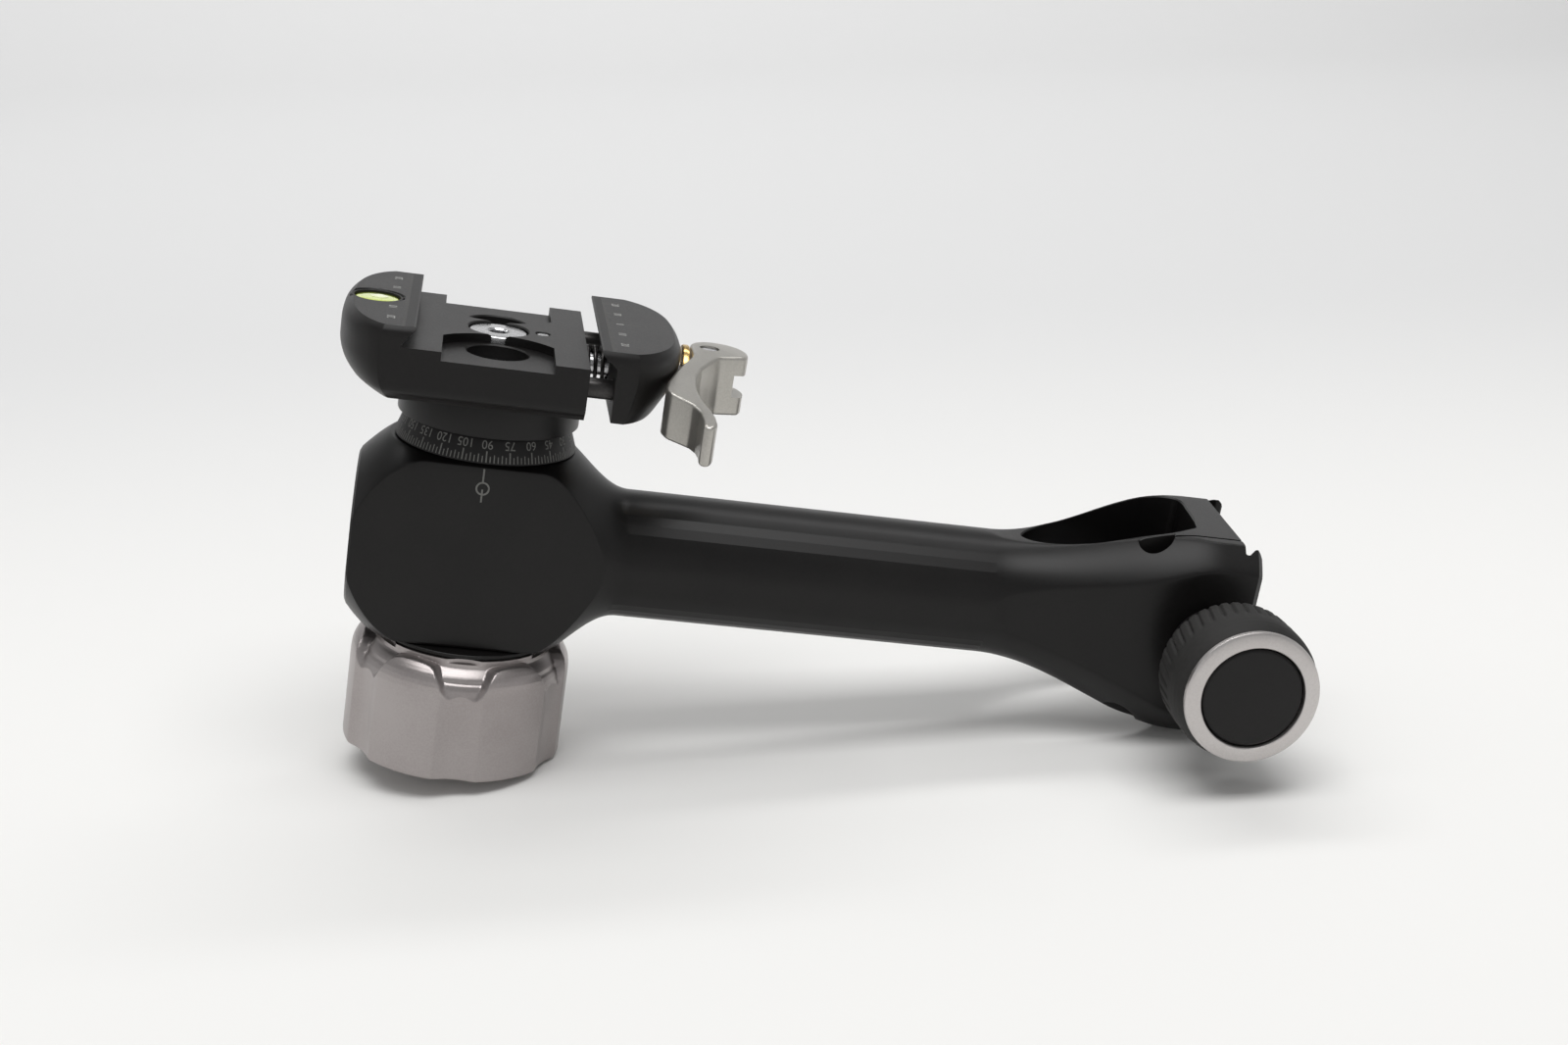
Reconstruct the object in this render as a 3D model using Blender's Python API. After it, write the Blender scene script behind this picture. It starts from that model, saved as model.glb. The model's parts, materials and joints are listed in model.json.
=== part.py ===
"""Swing arm of a gimbal tripod head with its quick-release clamp, lying as it does on a table.

The local frame has X along the arm from the tilt hub to the clamp end, Z up along the tilt axis
toward the quick-release clamp, and its origin where both axes cross. All lengths are in metres.
"""

import math

import bmesh
import bpy
import numpy as np
from mathutils import Vector

# General fits
GAP = 0.0003
SLIDE_GAP = 0.00035
OVERRUN = 0.003
ROUND_STEPS = 48
SMALL_STEPS = 24
SHARP_ANGLE = math.radians(32)

# Arm: turned body, milled faces, clamp end
SHAFT_RADIUS = 0.01515
HUB_RADIUS = 0.0278
HUB_HALF_LENGTH = 0.013
HUB_END = 0.0283
HUB_END_RADIUS = 0.0182
HUB_FILLET_END = 0.036
HUB_FACE = 0.0168
HUB_TOP = 0.0240
HUB_BOTTOM = 0.0216
FLARE_START = 0.124
FLARE_FINISH = 0.177
ARM_END = 0.1867
FLARE_RADIUS = 0.0308
END_FACE_START = 0.126
END_FACE_FINISH = 0.170
END_HALF_WIDTH = 0.0242
MILL_START = 0.124
MILL_FINISH = 0.164
END_HALF_HEIGHT = 0.0242
MILL_SKIN = 0.0002
BLEND_STEPS = 14
WINDOW_START = 0.1314
WINDOW_END = 0.1735
WINDOW_HALF_WIDTH = 0.0163
RELIEF_X = 0.1600
RELIEF_RADIUS = 0.0043
SLIT_Y = 0.0154
SLIT_WIDTH = 0.0009
GROOVE_DEPTH = 0.0046
GROOVE_HALF_FLOOR = 0.0192
GROOVE_HALF_MOUTH = 0.0176
GROOVE_LIP = 0.0020

# Tilt spindle and what turns with it
SPINDLE_RADIUS = 0.0090
SPINDLE_THREAD_RADIUS = 0.0066
SPINDLE_THREAD_LENGTH = 0.0220
SLEEVE_WALL = 0.0027
WASHER_WIDTH = 0.0036
WASHER_THICKNESS = 0.0014
DIAL_RADIUS = 0.0209
DIAL_TOP_RADIUS = 0.0190
DIAL_HEIGHT = 0.0055
FLANGE_RADIUS = 0.0208
FLANGE_HEIGHT = 0.0080
COLLAR_RADIUS = 0.0205
COLLAR_THICKNESS = 0.0010

# Quick-release clamp
CLAMP_HALF_LENGTH = 0.0286
RAIL_HEIGHT = 0.0121
JAW_RISE = 0.0044
BODY_RIGHT = 0.0199
JAW_OPEN_GAP = 0.0057
FIXED_LIP = 0.0182
LIP_OVERHANG = 0.0026
LIP_THICKNESS = 0.0008
UNDERCUT_RISE = 0.0007
FIXED_BULGE = 0.0168
MOVING_BULGE = 0.0196
MOVING_LIP_OVERHANG = 0.0036
JAW_ARC_STEPS = 20
JAW_ARC_END = 0.0020
JAW_ARC_POWER = 2.6
JAW_ARC_ROOT = 0.45
UNDERSIDE_BEVEL = 0.0024
POCKET_HALF_WIDTH = 0.0123
POCKET_DEPTH = 0.0020
POCKET_REACH = 0.0066
POCKET_ARC_RADIUS = 0.0155
FIXING_Y = 0.0146
FIXING_RADIUS = 0.0066
FIXING_DEPTH = 0.0086
FIXING_HEAD = 0.0026
SCREW_RADIUS = 0.0066
SCREW_HEAD = 0.0042
SCREW_SUNK = 0.0005
SCREW_SHANK_RADIUS = 0.0030
SCREW_REACH = 0.0100
SOCKET_RADIUS = 0.0021
SOCKET_DEPTH = 0.0022
STOP_PIN_X = 0.0101
STOP_PIN_RADIUS = 0.0014
STOP_PIN_DEPTH = 0.0022
LEVEL_X = 0.0277
LEVEL_RADIUS = 0.0052
LEVEL_RIM = 0.0006
LEVEL_DEPTH = 0.0036
LEVEL_SUNK = 0.0004
BUBBLE_RADIUS = 0.0019

# Draw rod, guide rods and cam lever
ROD_DROP = 0.0056
ROD_RADIUS = 0.0025
ROD_START = 0.0085
GUIDE_Y = 0.0220
GUIDE_RADIUS = 0.0023
GUIDE_IN_BODY = 0.0060
GUIDE_IN_JAW = 0.0056
PIVOT_X = 0.0486
EYE_RADIUS = 0.0036
EYE_HEIGHT = 0.0062
PIN_RADIUS = 0.0020
CAM_BASE = 0.0044
CAM_RISE = 0.00145
CAM_TURN = math.radians(205)
CAM_STEPS = 26
CAM_FLAT = 0.0077
CHEEK_HEIGHT = 0.0140
FORK_HEIGHT = 0.0068
FORK_RADIUS = 0.0066
FORK_HALF_WIDTH = 0.0030
LEVER_LENGTH = 0.0476
LEVER_DEPTH = 0.0120
LEVER_FLAT = 0.0060
LEVER_TOP_DROP = 0.0062
THRUST_RADIUS = 0.0070
THRUST_THICKNESS = 0.0017
SPACER_RADIUS = 0.0055
SPACER_THICKNESS = 0.0009
SEAT_RADIUS = 0.0046
SEAT_LENGTH = 0.0070
SPRING_RADIUS = 0.0039
SPRING_WIRE = 0.00045
SPRING_LENGTH = 0.0125
SPRING_CURLS = 7
SPRING_BORE = 0.0050

# Tilt lock knob
KNOB_TOP_RADIUS = 0.0214
KNOB_SHOULDER_RADIUS = 0.0260
KNOB_SHOULDER_DROP = 0.0050
KNOB_RADIUS = 0.0264
KNOB_HEIGHT = 0.0284
KNOB_CHAMFER = 0.0008
LOBES = 6
FLUTE_RADIUS = 0.0100
FLUTE_FLOOR = 0.0250
COVE_RADIUS = 0.0098
COVE_HEIGHT = 0.0098
COVE_TOP_FLOOR = 0.0203
COVE_LOW_FLOOR = 0.0256
CAP_RADIUS = 0.0150
CAP_THICKNESS = 0.0020
CAP_SUNK = 0.0006

# Clamp knob at the arm's end
CLAMP_KNOB_X = 0.1746
STUD_RADIUS = 0.0030
STUD_REACH = 0.0060
STUD_IN_KNOB = 0.0180
KNOB_WASHER_RADIUS = 0.0075
KNOB_WASHER_THICKNESS = 0.0012
CORE_RADIUS = 0.0106
NECK_LENGTH = 0.0099
GRIP_RADIUS = 0.0170
GRIP_LENGTH = 0.0180
GRIP_NECK_RADIUS = 0.0150
RIBS = 38
RIB_DEPTH = 0.0007
RIB_SHARE = 0.62
RIB_SLANT = math.radians(9)
RING_RADIUS = 0.0154
RING_INNER_RADIUS = 0.0121
RING_THICKNESS = 0.0020
FACE_SUNK = 0.0004

# Shapes as shares of the sizes that they follow
WINDOW_BACK_SHARES = ((0.0, 0.0), (0.02, 0.14), (0.07, 0.29), (0.17, 0.48), (0.29, 0.65), (0.44, 0.80),
                      (0.61, 0.91), (0.79, 0.98), (0.91, 1.0), (0.98, 0.92), (1.0, 0.76))
WINDOW_FRONT_SHARES = ((0.97, 0.50), (0.91, 0.62), (0.83, 0.74), (0.74, 0.80), (0.62, 0.77), (0.49, 0.72),
                       (0.38, 0.65), (0.28, 0.55), (0.18, 0.44), (0.09, 0.31), (0.03, 0.17))
FIXED_BULGE_SHARES = ((0.0, 0.60), (0.14, 0.82), (0.30, 0.94), (0.50, 1.0), (0.78, 1.0), (0.93, 0.95),
                      (1.0, 0.88))
MOVING_BULGE_SHARES = ((0.0, 0.75), (0.17, 0.83), (0.45, 0.94), (0.70, 1.0), (0.91, 0.98), (1.0, 0.92))
LEVER_OUTER_SHARES = ((0.16, -0.15), (-0.04, -0.225), (-0.25, -0.32), (-0.38, -0.43), (-0.42, -0.55),
                      (-0.36, -0.68), (-0.24, -0.78), (-0.16, -0.86), (-0.14, -0.94), (-0.20, -1.0))
LEVER_INNER_SHARES = ((-0.42, -1.0), (-0.40, -0.92), (-0.43, -0.83), (-0.54, -0.76), (-0.73, -0.71),
                      (-0.92, -0.665), (-1.0, -0.60), (-0.95, -0.52), (-0.78, -0.39), (-0.58, -0.27))
COVE_SHARES = ((0.0, 0.0), (0.19, 0.06), (0.29, 0.29), (0.39, 0.49), (0.47, 0.55), (0.59, 0.71),
               (0.75, 0.82), (0.90, 0.92), (1.0, 1.0))
GRIP_SHARES = ((0.0, 0.0), (0.08, 0.62), (0.20, 0.96), (0.44, 1.0), (0.70, 1.0), (0.84, 0.86),
               (0.94, 0.52), (1.0, 0.26))

# Heights that stack up along the tilt axis
WASHER_RADIUS = SPINDLE_RADIUS + GAP + WASHER_WIDTH
DIAL_BOTTOM = HUB_TOP + GAP
FLANGE_BOTTOM = DIAL_BOTTOM + DIAL_HEIGHT + GAP
FLANGE_TOP = FLANGE_BOTTOM + FLANGE_HEIGHT
BODY_BOTTOM = FLANGE_TOP + GAP
RAIL_TOP = BODY_BOTTOM + RAIL_HEIGHT
JAW_TOP = RAIL_TOP + JAW_RISE
JAW_BOTTOM = BODY_BOTTOM + UNDERSIDE_BEVEL / 4
ROD_Z = RAIL_TOP - ROD_DROP
MOVING_FACE = BODY_RIGHT + JAW_OPEN_GAP
MOVING_LIP = MOVING_FACE - MOVING_LIP_OVERHANG
CAM_PLANE = PIVOT_X - CAM_BASE
THRUST_RIGHT = CAM_PLANE - GAP
SPACER_RIGHT = THRUST_RIGHT - THRUST_THICKNESS - GAP
SEAT_RIGHT = SPACER_RIGHT - SPACER_THICKNESS - GAP
COLLAR_TOP = -HUB_BOTTOM - GAP
KNOB_TOP = COLLAR_TOP - COLLAR_THICKNESS - GAP
KNOB_BOTTOM = KNOB_TOP - KNOB_HEIGHT
LEVEL_TOP = JAW_TOP - LEVEL_SUNK

# Places along the clamp knob's axis, which points to the front
WASHER_BACK = END_HALF_WIDTH + GAP
CORE_BACK = WASHER_BACK + KNOB_WASHER_THICKNESS + GAP
GRIP_BACK = CORE_BACK + NECK_LENGTH
GRIP_FRONT = GRIP_BACK + GRIP_LENGTH
CORE_FRONT = GRIP_FRONT - GAP
RING_BACK = GRIP_FRONT + GAP
RING_FRONT = RING_BACK + RING_THICKNESS

# The arm's right end hangs down until it and the tilt lock knob's rim both touch the table
LYING_ANGLE = math.atan2(-KNOB_BOTTOM - END_HALF_HEIGHT, ARM_END - KNOB_RADIUS)


def clear_scene():
    """Start from an empty scene."""
    for old in list(bpy.data.objects):
        bpy.data.objects.remove(old, do_unlink=True)


def surface(name, colour, roughness, metallic):
    """A plain material with the part's colour and finish."""
    material = bpy.data.materials.new(name)
    material.use_nodes = True
    shader = material.node_tree.nodes["Principled BSDF"]
    shader.inputs["Base Color"].default_value = (*colour, 1.0)
    shader.inputs["Roughness"].default_value = roughness
    shader.inputs["Metallic"].default_value = metallic
    material.diffuse_color = (*colour, 1.0)
    return material


def pivot(name, parent, place=(0, 0, 0)):
    """An empty that carries the pieces turning or sliding together."""
    empty = bpy.data.objects.new(name, None)
    empty.location = place
    empty.parent = parent
    bpy.context.collection.objects.link(empty)
    return empty


def solid(name, points, faces, material=None, parent=None):
    """A closed mesh whose faces all point out, shaded smooth with sharp edges kept."""
    mesh = bpy.data.meshes.new(name)
    mesh.from_pydata([tuple(float(c) for c in p) for p in points], [], faces)
    sheet = bmesh.new()
    sheet.from_mesh(mesh)
    bmesh.ops.recalc_face_normals(sheet, faces=sheet.faces)
    sheet.to_mesh(mesh)
    sheet.free()
    mesh.shade_smooth()
    mesh.set_sharp_from_angle(angle=SHARP_ANGLE)
    piece = bpy.data.objects.new(name, mesh)
    piece.parent = parent
    bpy.context.collection.objects.link(piece)
    if material is not None:
        mesh.materials.append(material)
    return piece


def along(axis, radial, side, height):
    """A point given by two coordinates across an axis and one along it."""
    if axis == "X":
        return height, radial, side
    if axis == "Y":
        return radial, height, side
    return radial, side, height


def stacked(name, layers, closed=False, **look):
    """Join outlines that have the same number of points into one closed body, or into a ring."""
    count = len(layers[0])
    points = [spot for layer in layers for spot in layer]
    last = len(layers) - 1
    faces = [] if closed else [list(range(count)), list(range(last * count, len(points)))]
    for level in range(len(layers) if closed else last):
        base = level * count
        after = base + count if level < last else 0
        for k in range(count):
            n = (k + 1) % count
            faces.append([base + k, base + n, after + n, after + k])
    return solid(name, points, faces, **look)


def turned(name, profile, axis="Z", centre=(0, 0, 0), steps=ROUND_STEPS, closed=False, **look):
    """Turn a profile of (radius, height) points round an axis; a closed profile makes a ring."""
    angles = [2 * math.pi * k / steps for k in range(steps)]
    layers = [[Vector(along(axis, r * math.cos(a), r * math.sin(a), height)) + Vector(centre) for a in angles]
              for r, height in profile]
    return stacked(name, layers, closed=closed, **look)


def rod(name, radius, low, high, **more):
    """A plain cylinder between two heights on its axis."""
    return turned(name, ((radius, low), (radius, high)), **more)


def washer(name, inner, outer, low, high, **more):
    """A flat ring between two heights on its axis."""
    profile = ((inner, low), (outer, low), (outer, high), (inner, high))
    return turned(name, profile, closed=True, **more)


def prism(name, outline, low, high, axis="Z", **look):
    """Extrude an outline of two coordinates along the third."""
    layers = [[along(axis, a, b, height) for a, b in outline] for height in (low, high)]
    return stacked(name, layers, **look)


def block(name, low, high, **look):
    """A box between two corners."""
    outline = ((low[0], low[1]), (high[0], low[1]), (high[0], high[1]), (low[0], high[1]))
    return prism(name, outline, low[2], high[2], **look)


def combine(piece, operation, tools):
    """Cut, join or keep what tool bodies share with a piece, and shade the new edges sharp."""
    for tool in tools:
        tool.parent = piece.parent
        step = piece.modifiers.new(tool.name, "BOOLEAN")
        step.operation = operation
        step.object = tool
    graph = bpy.context.evaluated_depsgraph_get()
    mesh = bpy.data.meshes.new_from_object(piece.evaluated_get(graph))
    piece.modifiers.clear()
    piece.data = mesh
    mesh.name = piece.name
    mesh.shade_smooth()
    mesh.set_sharp_from_angle(angle=SHARP_ANGLE)
    for tool in tools:
        bpy.data.objects.remove(tool, do_unlink=True)


def cut(piece, *tools):
    """Take the tools away from a piece."""
    combine(piece, "DIFFERENCE", tools)


def blend(start, finish, low, high, steps=BLEND_STEPS):
    """Points of a smooth S curve between two levels along a length."""
    shares = [k / steps for k in range(steps + 1)]
    return [(start + (finish - start) * s, low + (high - low) * (1 - math.cos(math.pi * s)) / 2)
            for s in shares]


def rounded_end(start, finish, high, low, steps=BLEND_STEPS):
    """Points of a parabola that leaves a level and falls to a lower one."""
    shares = [k / steps for k in range(steps + 1)]
    return [(start + (finish - start) * s, high - (high - low) * s * s) for s in shares]


def arm_profile():
    """Radius of the turned arm along X, from the hub's left end to the clamp end."""
    left = rounded_end(-HUB_HALF_LENGTH, -HUB_END, HUB_RADIUS, HUB_END_RADIUS, BLEND_STEPS // 2)[::-1]
    fillet = blend(HUB_HALF_LENGTH, HUB_FILLET_END, HUB_RADIUS, SHAFT_RADIUS)
    flare = blend(FLARE_START, FLARE_FINISH, SHAFT_RADIUS, FLARE_RADIUS)
    return [(r, x) for x, r in left + fillet + flare + [(ARM_END, FLARE_RADIUS)]]


def window_outline():
    """Plan of the window that lets the clamp end flex."""
    length = WINDOW_END - WINDOW_START
    back = [(WINDOW_START + length * a, WINDOW_HALF_WIDTH * b) for a, b in WINDOW_BACK_SHARES]
    front = [(WINDOW_START + length * a, -WINDOW_HALF_WIDTH * b) for a, b in WINDOW_FRONT_SHARES]
    return back + front


def swing_arm(material, parent):
    """One turned bar with milled faces, a bore for the spindle and a slit clamp at its end."""
    arm = turned("swing_arm", arm_profile(), axis="X", steps=ROUND_STEPS, material=material, parent=parent)
    reach = HUB_RADIUS + OVERRUN
    hub_front = block("hub_front_tool", (-HUB_END - OVERRUN, -reach, -reach),
                      (HUB_FILLET_END, -HUB_FACE, reach))
    hub_back = block("hub_back_tool", (-HUB_END - OVERRUN, HUB_FACE, -reach),
                     (HUB_FILLET_END, reach, reach))
    hub_top = block("hub_top_tool", (-HUB_END - OVERRUN, -reach, HUB_TOP), (HUB_FILLET_END, reach, reach))
    hub_low = block("hub_low_tool", (-HUB_END - OVERRUN, -reach, -reach),
                    (HUB_FILLET_END, reach, -HUB_BOTTOM))
    cut(arm, hub_front, hub_back, hub_top, hub_low)
    far = FLARE_RADIUS + OVERRUN
    end = ARM_END + OVERRUN
    for side in (-1, 1):
        edge = blend(END_FACE_START, END_FACE_FINISH, SHAFT_RADIUS + MILL_SKIN, END_HALF_WIDTH)
        plan = [(x, side * y) for x, y in edge + [(end, END_HALF_WIDTH), (end, far), (END_FACE_START, far)]]
        cut(arm, prism("end_side_tool", plan, -far, far))
        edge = blend(MILL_START, MILL_FINISH, SHAFT_RADIUS + MILL_SKIN, END_HALF_HEIGHT)
        shape = [(x, side * z) for x, z in edge + [(end, END_HALF_HEIGHT), (end, far), (MILL_START, far)]]
        cut(arm, prism("end_top_tool", shape, -far, far, axis="Y"))
    cut(arm, prism("window_tool", window_outline(), -far, far))
    cut(arm, prism("relief_tool", relief_outline(), -far, far))
    cut(arm, block("slit_tool", (RELIEF_X, -SLIT_Y - SLIT_WIDTH / 2, -far), (end, -SLIT_Y + SLIT_WIDTH / 2, far)))
    cut(arm, prism("groove_tool", groove_outline(), -far, far))
    sleeve_hole = SPINDLE_RADIUS + GAP + SLEEVE_WALL + GAP
    cut(arm, rod("bore_tool", sleeve_hole, -HUB_BOTTOM - OVERRUN, HUB_TOP + OVERRUN))
    pocket = HUB_TOP - WASHER_THICKNESS - GAP
    cut(arm, rod("washer_pocket_tool", WASHER_RADIUS + GAP, pocket, HUB_TOP + OVERRUN))
    cut(arm, rod("stud_hole_tool", STUD_RADIUS + GAP, -END_HALF_WIDTH - OVERRUN, STUD_REACH + GAP, axis="Y",
                 centre=(CLAMP_KNOB_X, 0, 0), steps=SMALL_STEPS))
    return arm


def relief_outline():
    """Half-round hole that leaves a thin web beside the window and a spring wall in front."""
    back = RELIEF_RADIUS / 3 - SLIT_Y
    steps = range(SMALL_STEPS // 2 + 1)
    angles = [math.pi + math.pi * k / (SMALL_STEPS // 2) for k in steps]
    return [(RELIEF_X + RELIEF_RADIUS * math.cos(a), back + RELIEF_RADIUS * math.sin(a)) for a in angles]


def groove_outline():
    """Plan of the dovetail groove in the arm's right end."""
    floor = ARM_END - GROOVE_DEPTH
    lip = ARM_END - GROOVE_LIP
    end = ARM_END + OVERRUN
    half = ((floor, GROOVE_HALF_FLOOR), (floor + GROOVE_LIP / 2, GROOVE_HALF_FLOOR), (lip, GROOVE_HALF_MOUTH),
            (end, GROOVE_HALF_MOUTH))
    return list(half) + [(x, -y) for x, y in half[::-1]]


def bearing_sleeve(material, parent):
    inner = SPINDLE_RADIUS + GAP
    top = HUB_TOP - WASHER_THICKNESS - 2 * GAP
    return washer("bearing_sleeve", inner, inner + SLEEVE_WALL, -HUB_BOTTOM, top, material=material,
                  parent=parent)


def thrust_washer(material, parent):
    top = HUB_TOP
    return washer("thrust_washer", SPINDLE_RADIUS + GAP, WASHER_RADIUS, top - WASHER_THICKNESS, top,
                  material=material, parent=parent)


def lock_collar(material, parent):
    low = COLLAR_TOP - COLLAR_THICKNESS
    return washer("lock_collar", SPINDLE_RADIUS + GAP, COLLAR_RADIUS, low, COLLAR_TOP, material=material,
                  parent=parent)


def tilt_spindle(material, parent):
    """Steel spindle: plain in the sleeve, threaded below for the lock knob."""
    thread_top = COLLAR_TOP - COLLAR_THICKNESS
    profile = ((SPINDLE_THREAD_RADIUS, thread_top - SPINDLE_THREAD_LENGTH),
               (SPINDLE_THREAD_RADIUS, thread_top), (SPINDLE_RADIUS, thread_top), (SPINDLE_RADIUS, FLANGE_TOP))
    spindle = turned("tilt_spindle", profile, material=material, parent=parent)
    low = FLANGE_TOP - SCREW_REACH - GAP
    cut(spindle, rod("spindle_thread_tool", SCREW_SHANK_RADIUS + GAP, low, FLANGE_TOP + OVERRUN,
                     steps=SMALL_STEPS))
    return spindle


def dial_ring(material, parent):
    """Cone-faced ring that carries the degree scale."""
    inner = SPINDLE_RADIUS + GAP
    top = DIAL_BOTTOM + DIAL_HEIGHT
    profile = ((inner, DIAL_BOTTOM), (DIAL_RADIUS, DIAL_BOTTOM), (DIAL_TOP_RADIUS, top), (inner, top))
    return turned("dial_ring", profile, closed=True, steps=ROUND_STEPS, material=material, parent=parent)


def clamp_flange(material, parent):
    """Round flange under the clamp body."""
    inner = SPINDLE_RADIUS + GAP
    profile = ((inner, FLANGE_BOTTOM), (FLANGE_RADIUS, FLANGE_BOTTOM), (FLANGE_RADIUS, FLANGE_TOP),
               (inner, FLANGE_TOP))
    return turned("clamp_flange", profile, closed=True, material=material, parent=parent)


def jaw_outline(inner, bulge, side):
    """Plan of a jaw: straight inner edge, flat short ends and a full, nearly elliptic outer edge."""
    spots = []
    span = CLAMP_HALF_LENGTH + JAW_ARC_END
    for k in range(JAW_ARC_STEPS + 1):
        y = CLAMP_HALF_LENGTH * math.sin(math.pi * (k / JAW_ARC_STEPS - 1 / 2))
        out = bulge * (1 - abs(y / span) ** JAW_ARC_POWER) ** JAW_ARC_ROOT
        spots.append((side * (inner + out), y))
    return spots


def clamp_body(material, parent):
    """Black body with two rails, screw pockets and the fixed jaw, made as one piece."""
    layers = []
    height = JAW_TOP - BODY_BOTTOM
    for z_share, bulge_share in FIXED_BULGE_SHARES:
        z = BODY_BOTTOM + height * z_share
        arc = jaw_outline(FIXED_LIP, FIXED_BULGE * bulge_share, -1)
        outline = [(BODY_RIGHT, -CLAMP_HALF_LENGTH)] + arc + [(BODY_RIGHT, CLAMP_HALF_LENGTH)]
        layers.append([(x, y, z) for x, y in outline])
    body = stacked("clamp_body", layers, material=material, parent=parent)
    reach = CLAMP_HALF_LENGTH + OVERRUN
    right = BODY_RIGHT + OVERRUN
    undercut = FIXED_LIP + LIP_OVERHANG
    channel = ((-undercut, RAIL_TOP), (-undercut, RAIL_TOP + UNDERCUT_RISE), (-FIXED_LIP, JAW_TOP - LIP_THICKNESS),
               (-FIXED_LIP, JAW_TOP + OVERRUN), (right, JAW_TOP + OVERRUN), (right, RAIL_TOP))
    cut(body, prism("channel_tool", channel, -reach, reach, axis="Y"))
    for side in (-1, 1):
        edge = CLAMP_HALF_LENGTH - UNDERSIDE_BEVEL
        bevel = ((side * (edge - OVERRUN), BODY_BOTTOM - OVERRUN), (side * reach, BODY_BOTTOM - OVERRUN),
                 (side * reach, BODY_BOTTOM + UNDERSIDE_BEVEL + OVERRUN))
        cut(body, prism("bevel_tool", bevel, -FIXED_LIP - FIXED_BULGE - OVERRUN, right, axis="X"))
        cut(body, prism("pocket_tool", pocket_outline(side), RAIL_TOP - POCKET_DEPTH, RAIL_TOP + OVERRUN))
        cut(body, rod("fixing_hole_tool", FIXING_RADIUS + GAP, RAIL_TOP - FIXING_DEPTH, RAIL_TOP + OVERRUN,
                      centre=(0, side * FIXING_Y, 0), steps=SMALL_STEPS))
        cut(body, rod("guide_hole_tool", GUIDE_RADIUS + SLIDE_GAP, BODY_RIGHT - guide_travel() - GUIDE_IN_BODY - GAP,
                      right, axis="X", centre=(0, side * GUIDE_Y, ROD_Z), steps=SMALL_STEPS))
    sink = RAIL_TOP - SCREW_SUNK - SCREW_HEAD - GAP
    profile = ((SCREW_SHANK_RADIUS + GAP, BODY_BOTTOM - OVERRUN), (SCREW_SHANK_RADIUS + GAP, sink),
               (SCREW_RADIUS + GAP, sink), (SCREW_RADIUS + GAP, RAIL_TOP + OVERRUN))
    cut(body, turned("screw_hole_tool", profile, steps=SMALL_STEPS))
    cut(body, rod("stop_pin_hole_tool", STOP_PIN_RADIUS + GAP, RAIL_TOP - STOP_PIN_DEPTH, RAIL_TOP + OVERRUN,
                  centre=(STOP_PIN_X, 0, 0), steps=SMALL_STEPS))
    cut(body, rod("level_hole_tool", LEVEL_RADIUS + LEVEL_RIM + GAP, LEVEL_TOP - LEVEL_DEPTH - GAP,
                  JAW_TOP + OVERRUN, centre=(-LEVEL_X, 0, 0), steps=SMALL_STEPS))
    spring_seat = spring_start() - GAP
    profile = ((ROD_RADIUS + GAP, ROD_START - GAP), (ROD_RADIUS + GAP, spring_seat), (SPRING_BORE, spring_seat),
               (SPRING_BORE, right))
    cut(body, turned("draw_rod_hole_tool", profile, axis="X", centre=(0, 0, ROD_Z), steps=SMALL_STEPS))
    return body


def pocket_outline(side):
    """Shallow pocket at one end of the rails, closed by an arc toward the middle screw."""
    centre = POCKET_REACH + POCKET_ARC_RADIUS
    half_angle = math.asin(POCKET_HALF_WIDTH / POCKET_ARC_RADIUS)
    steps = SMALL_STEPS // 2
    angles = [-half_angle + 2 * half_angle * k / steps for k in range(steps + 1)]
    arc = [(POCKET_ARC_RADIUS * math.sin(a), centre - POCKET_ARC_RADIUS * math.cos(a)) for a in angles]
    far = CLAMP_HALF_LENGTH + OVERRUN
    outline = arc + [(POCKET_HALF_WIDTH, far), (-POCKET_HALF_WIDTH, far)]
    return [(x, side * y) for x, y in outline]


def guide_travel():
    """How far the movable jaw closes."""
    return CAM_RISE * CAM_TURN


def spring_start():
    """Left end of the return spring, in the body."""
    return MOVING_FACE - SPRING_LENGTH


def centre_screw(material, parent):
    """Screw that holds the clamp on the spindle, with a hexagon socket."""
    top = RAIL_TOP - SCREW_SUNK
    head_low = top - SCREW_HEAD
    low = FLANGE_TOP - SCREW_REACH
    profile = ((SCREW_SHANK_RADIUS, low), (SCREW_SHANK_RADIUS, head_low), (SCREW_RADIUS, head_low),
               (SCREW_RADIUS, top))
    screw = turned("centre_screw", profile, steps=SMALL_STEPS, material=material, parent=parent)
    cut(screw, rod("socket_tool", SOCKET_RADIUS, top - SOCKET_DEPTH, top + OVERRUN, steps=LOBES))
    return screw


def fixing_screw(name, side, material, parent):
    """Low screw at the bottom of a pocket hole."""
    low = RAIL_TOP - FIXING_DEPTH + GAP
    screw = rod(name, FIXING_RADIUS, low, low + FIXING_HEAD, centre=(0, side * FIXING_Y, 0), steps=SMALL_STEPS,
                material=material, parent=parent)
    cut(screw, rod(name + "_socket_tool", SOCKET_RADIUS, low + FIXING_HEAD / 2, low + FIXING_HEAD + OVERRUN,
                   centre=(0, side * FIXING_Y, 0), steps=LOBES))
    return screw


def stop_pin(material, parent):
    low = RAIL_TOP - STOP_PIN_DEPTH + GAP
    return rod("stop_pin", STOP_PIN_RADIUS, low, RAIL_TOP - GAP, centre=(STOP_PIN_X, 0, 0), steps=SMALL_STEPS,
               material=material, parent=parent)


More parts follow.
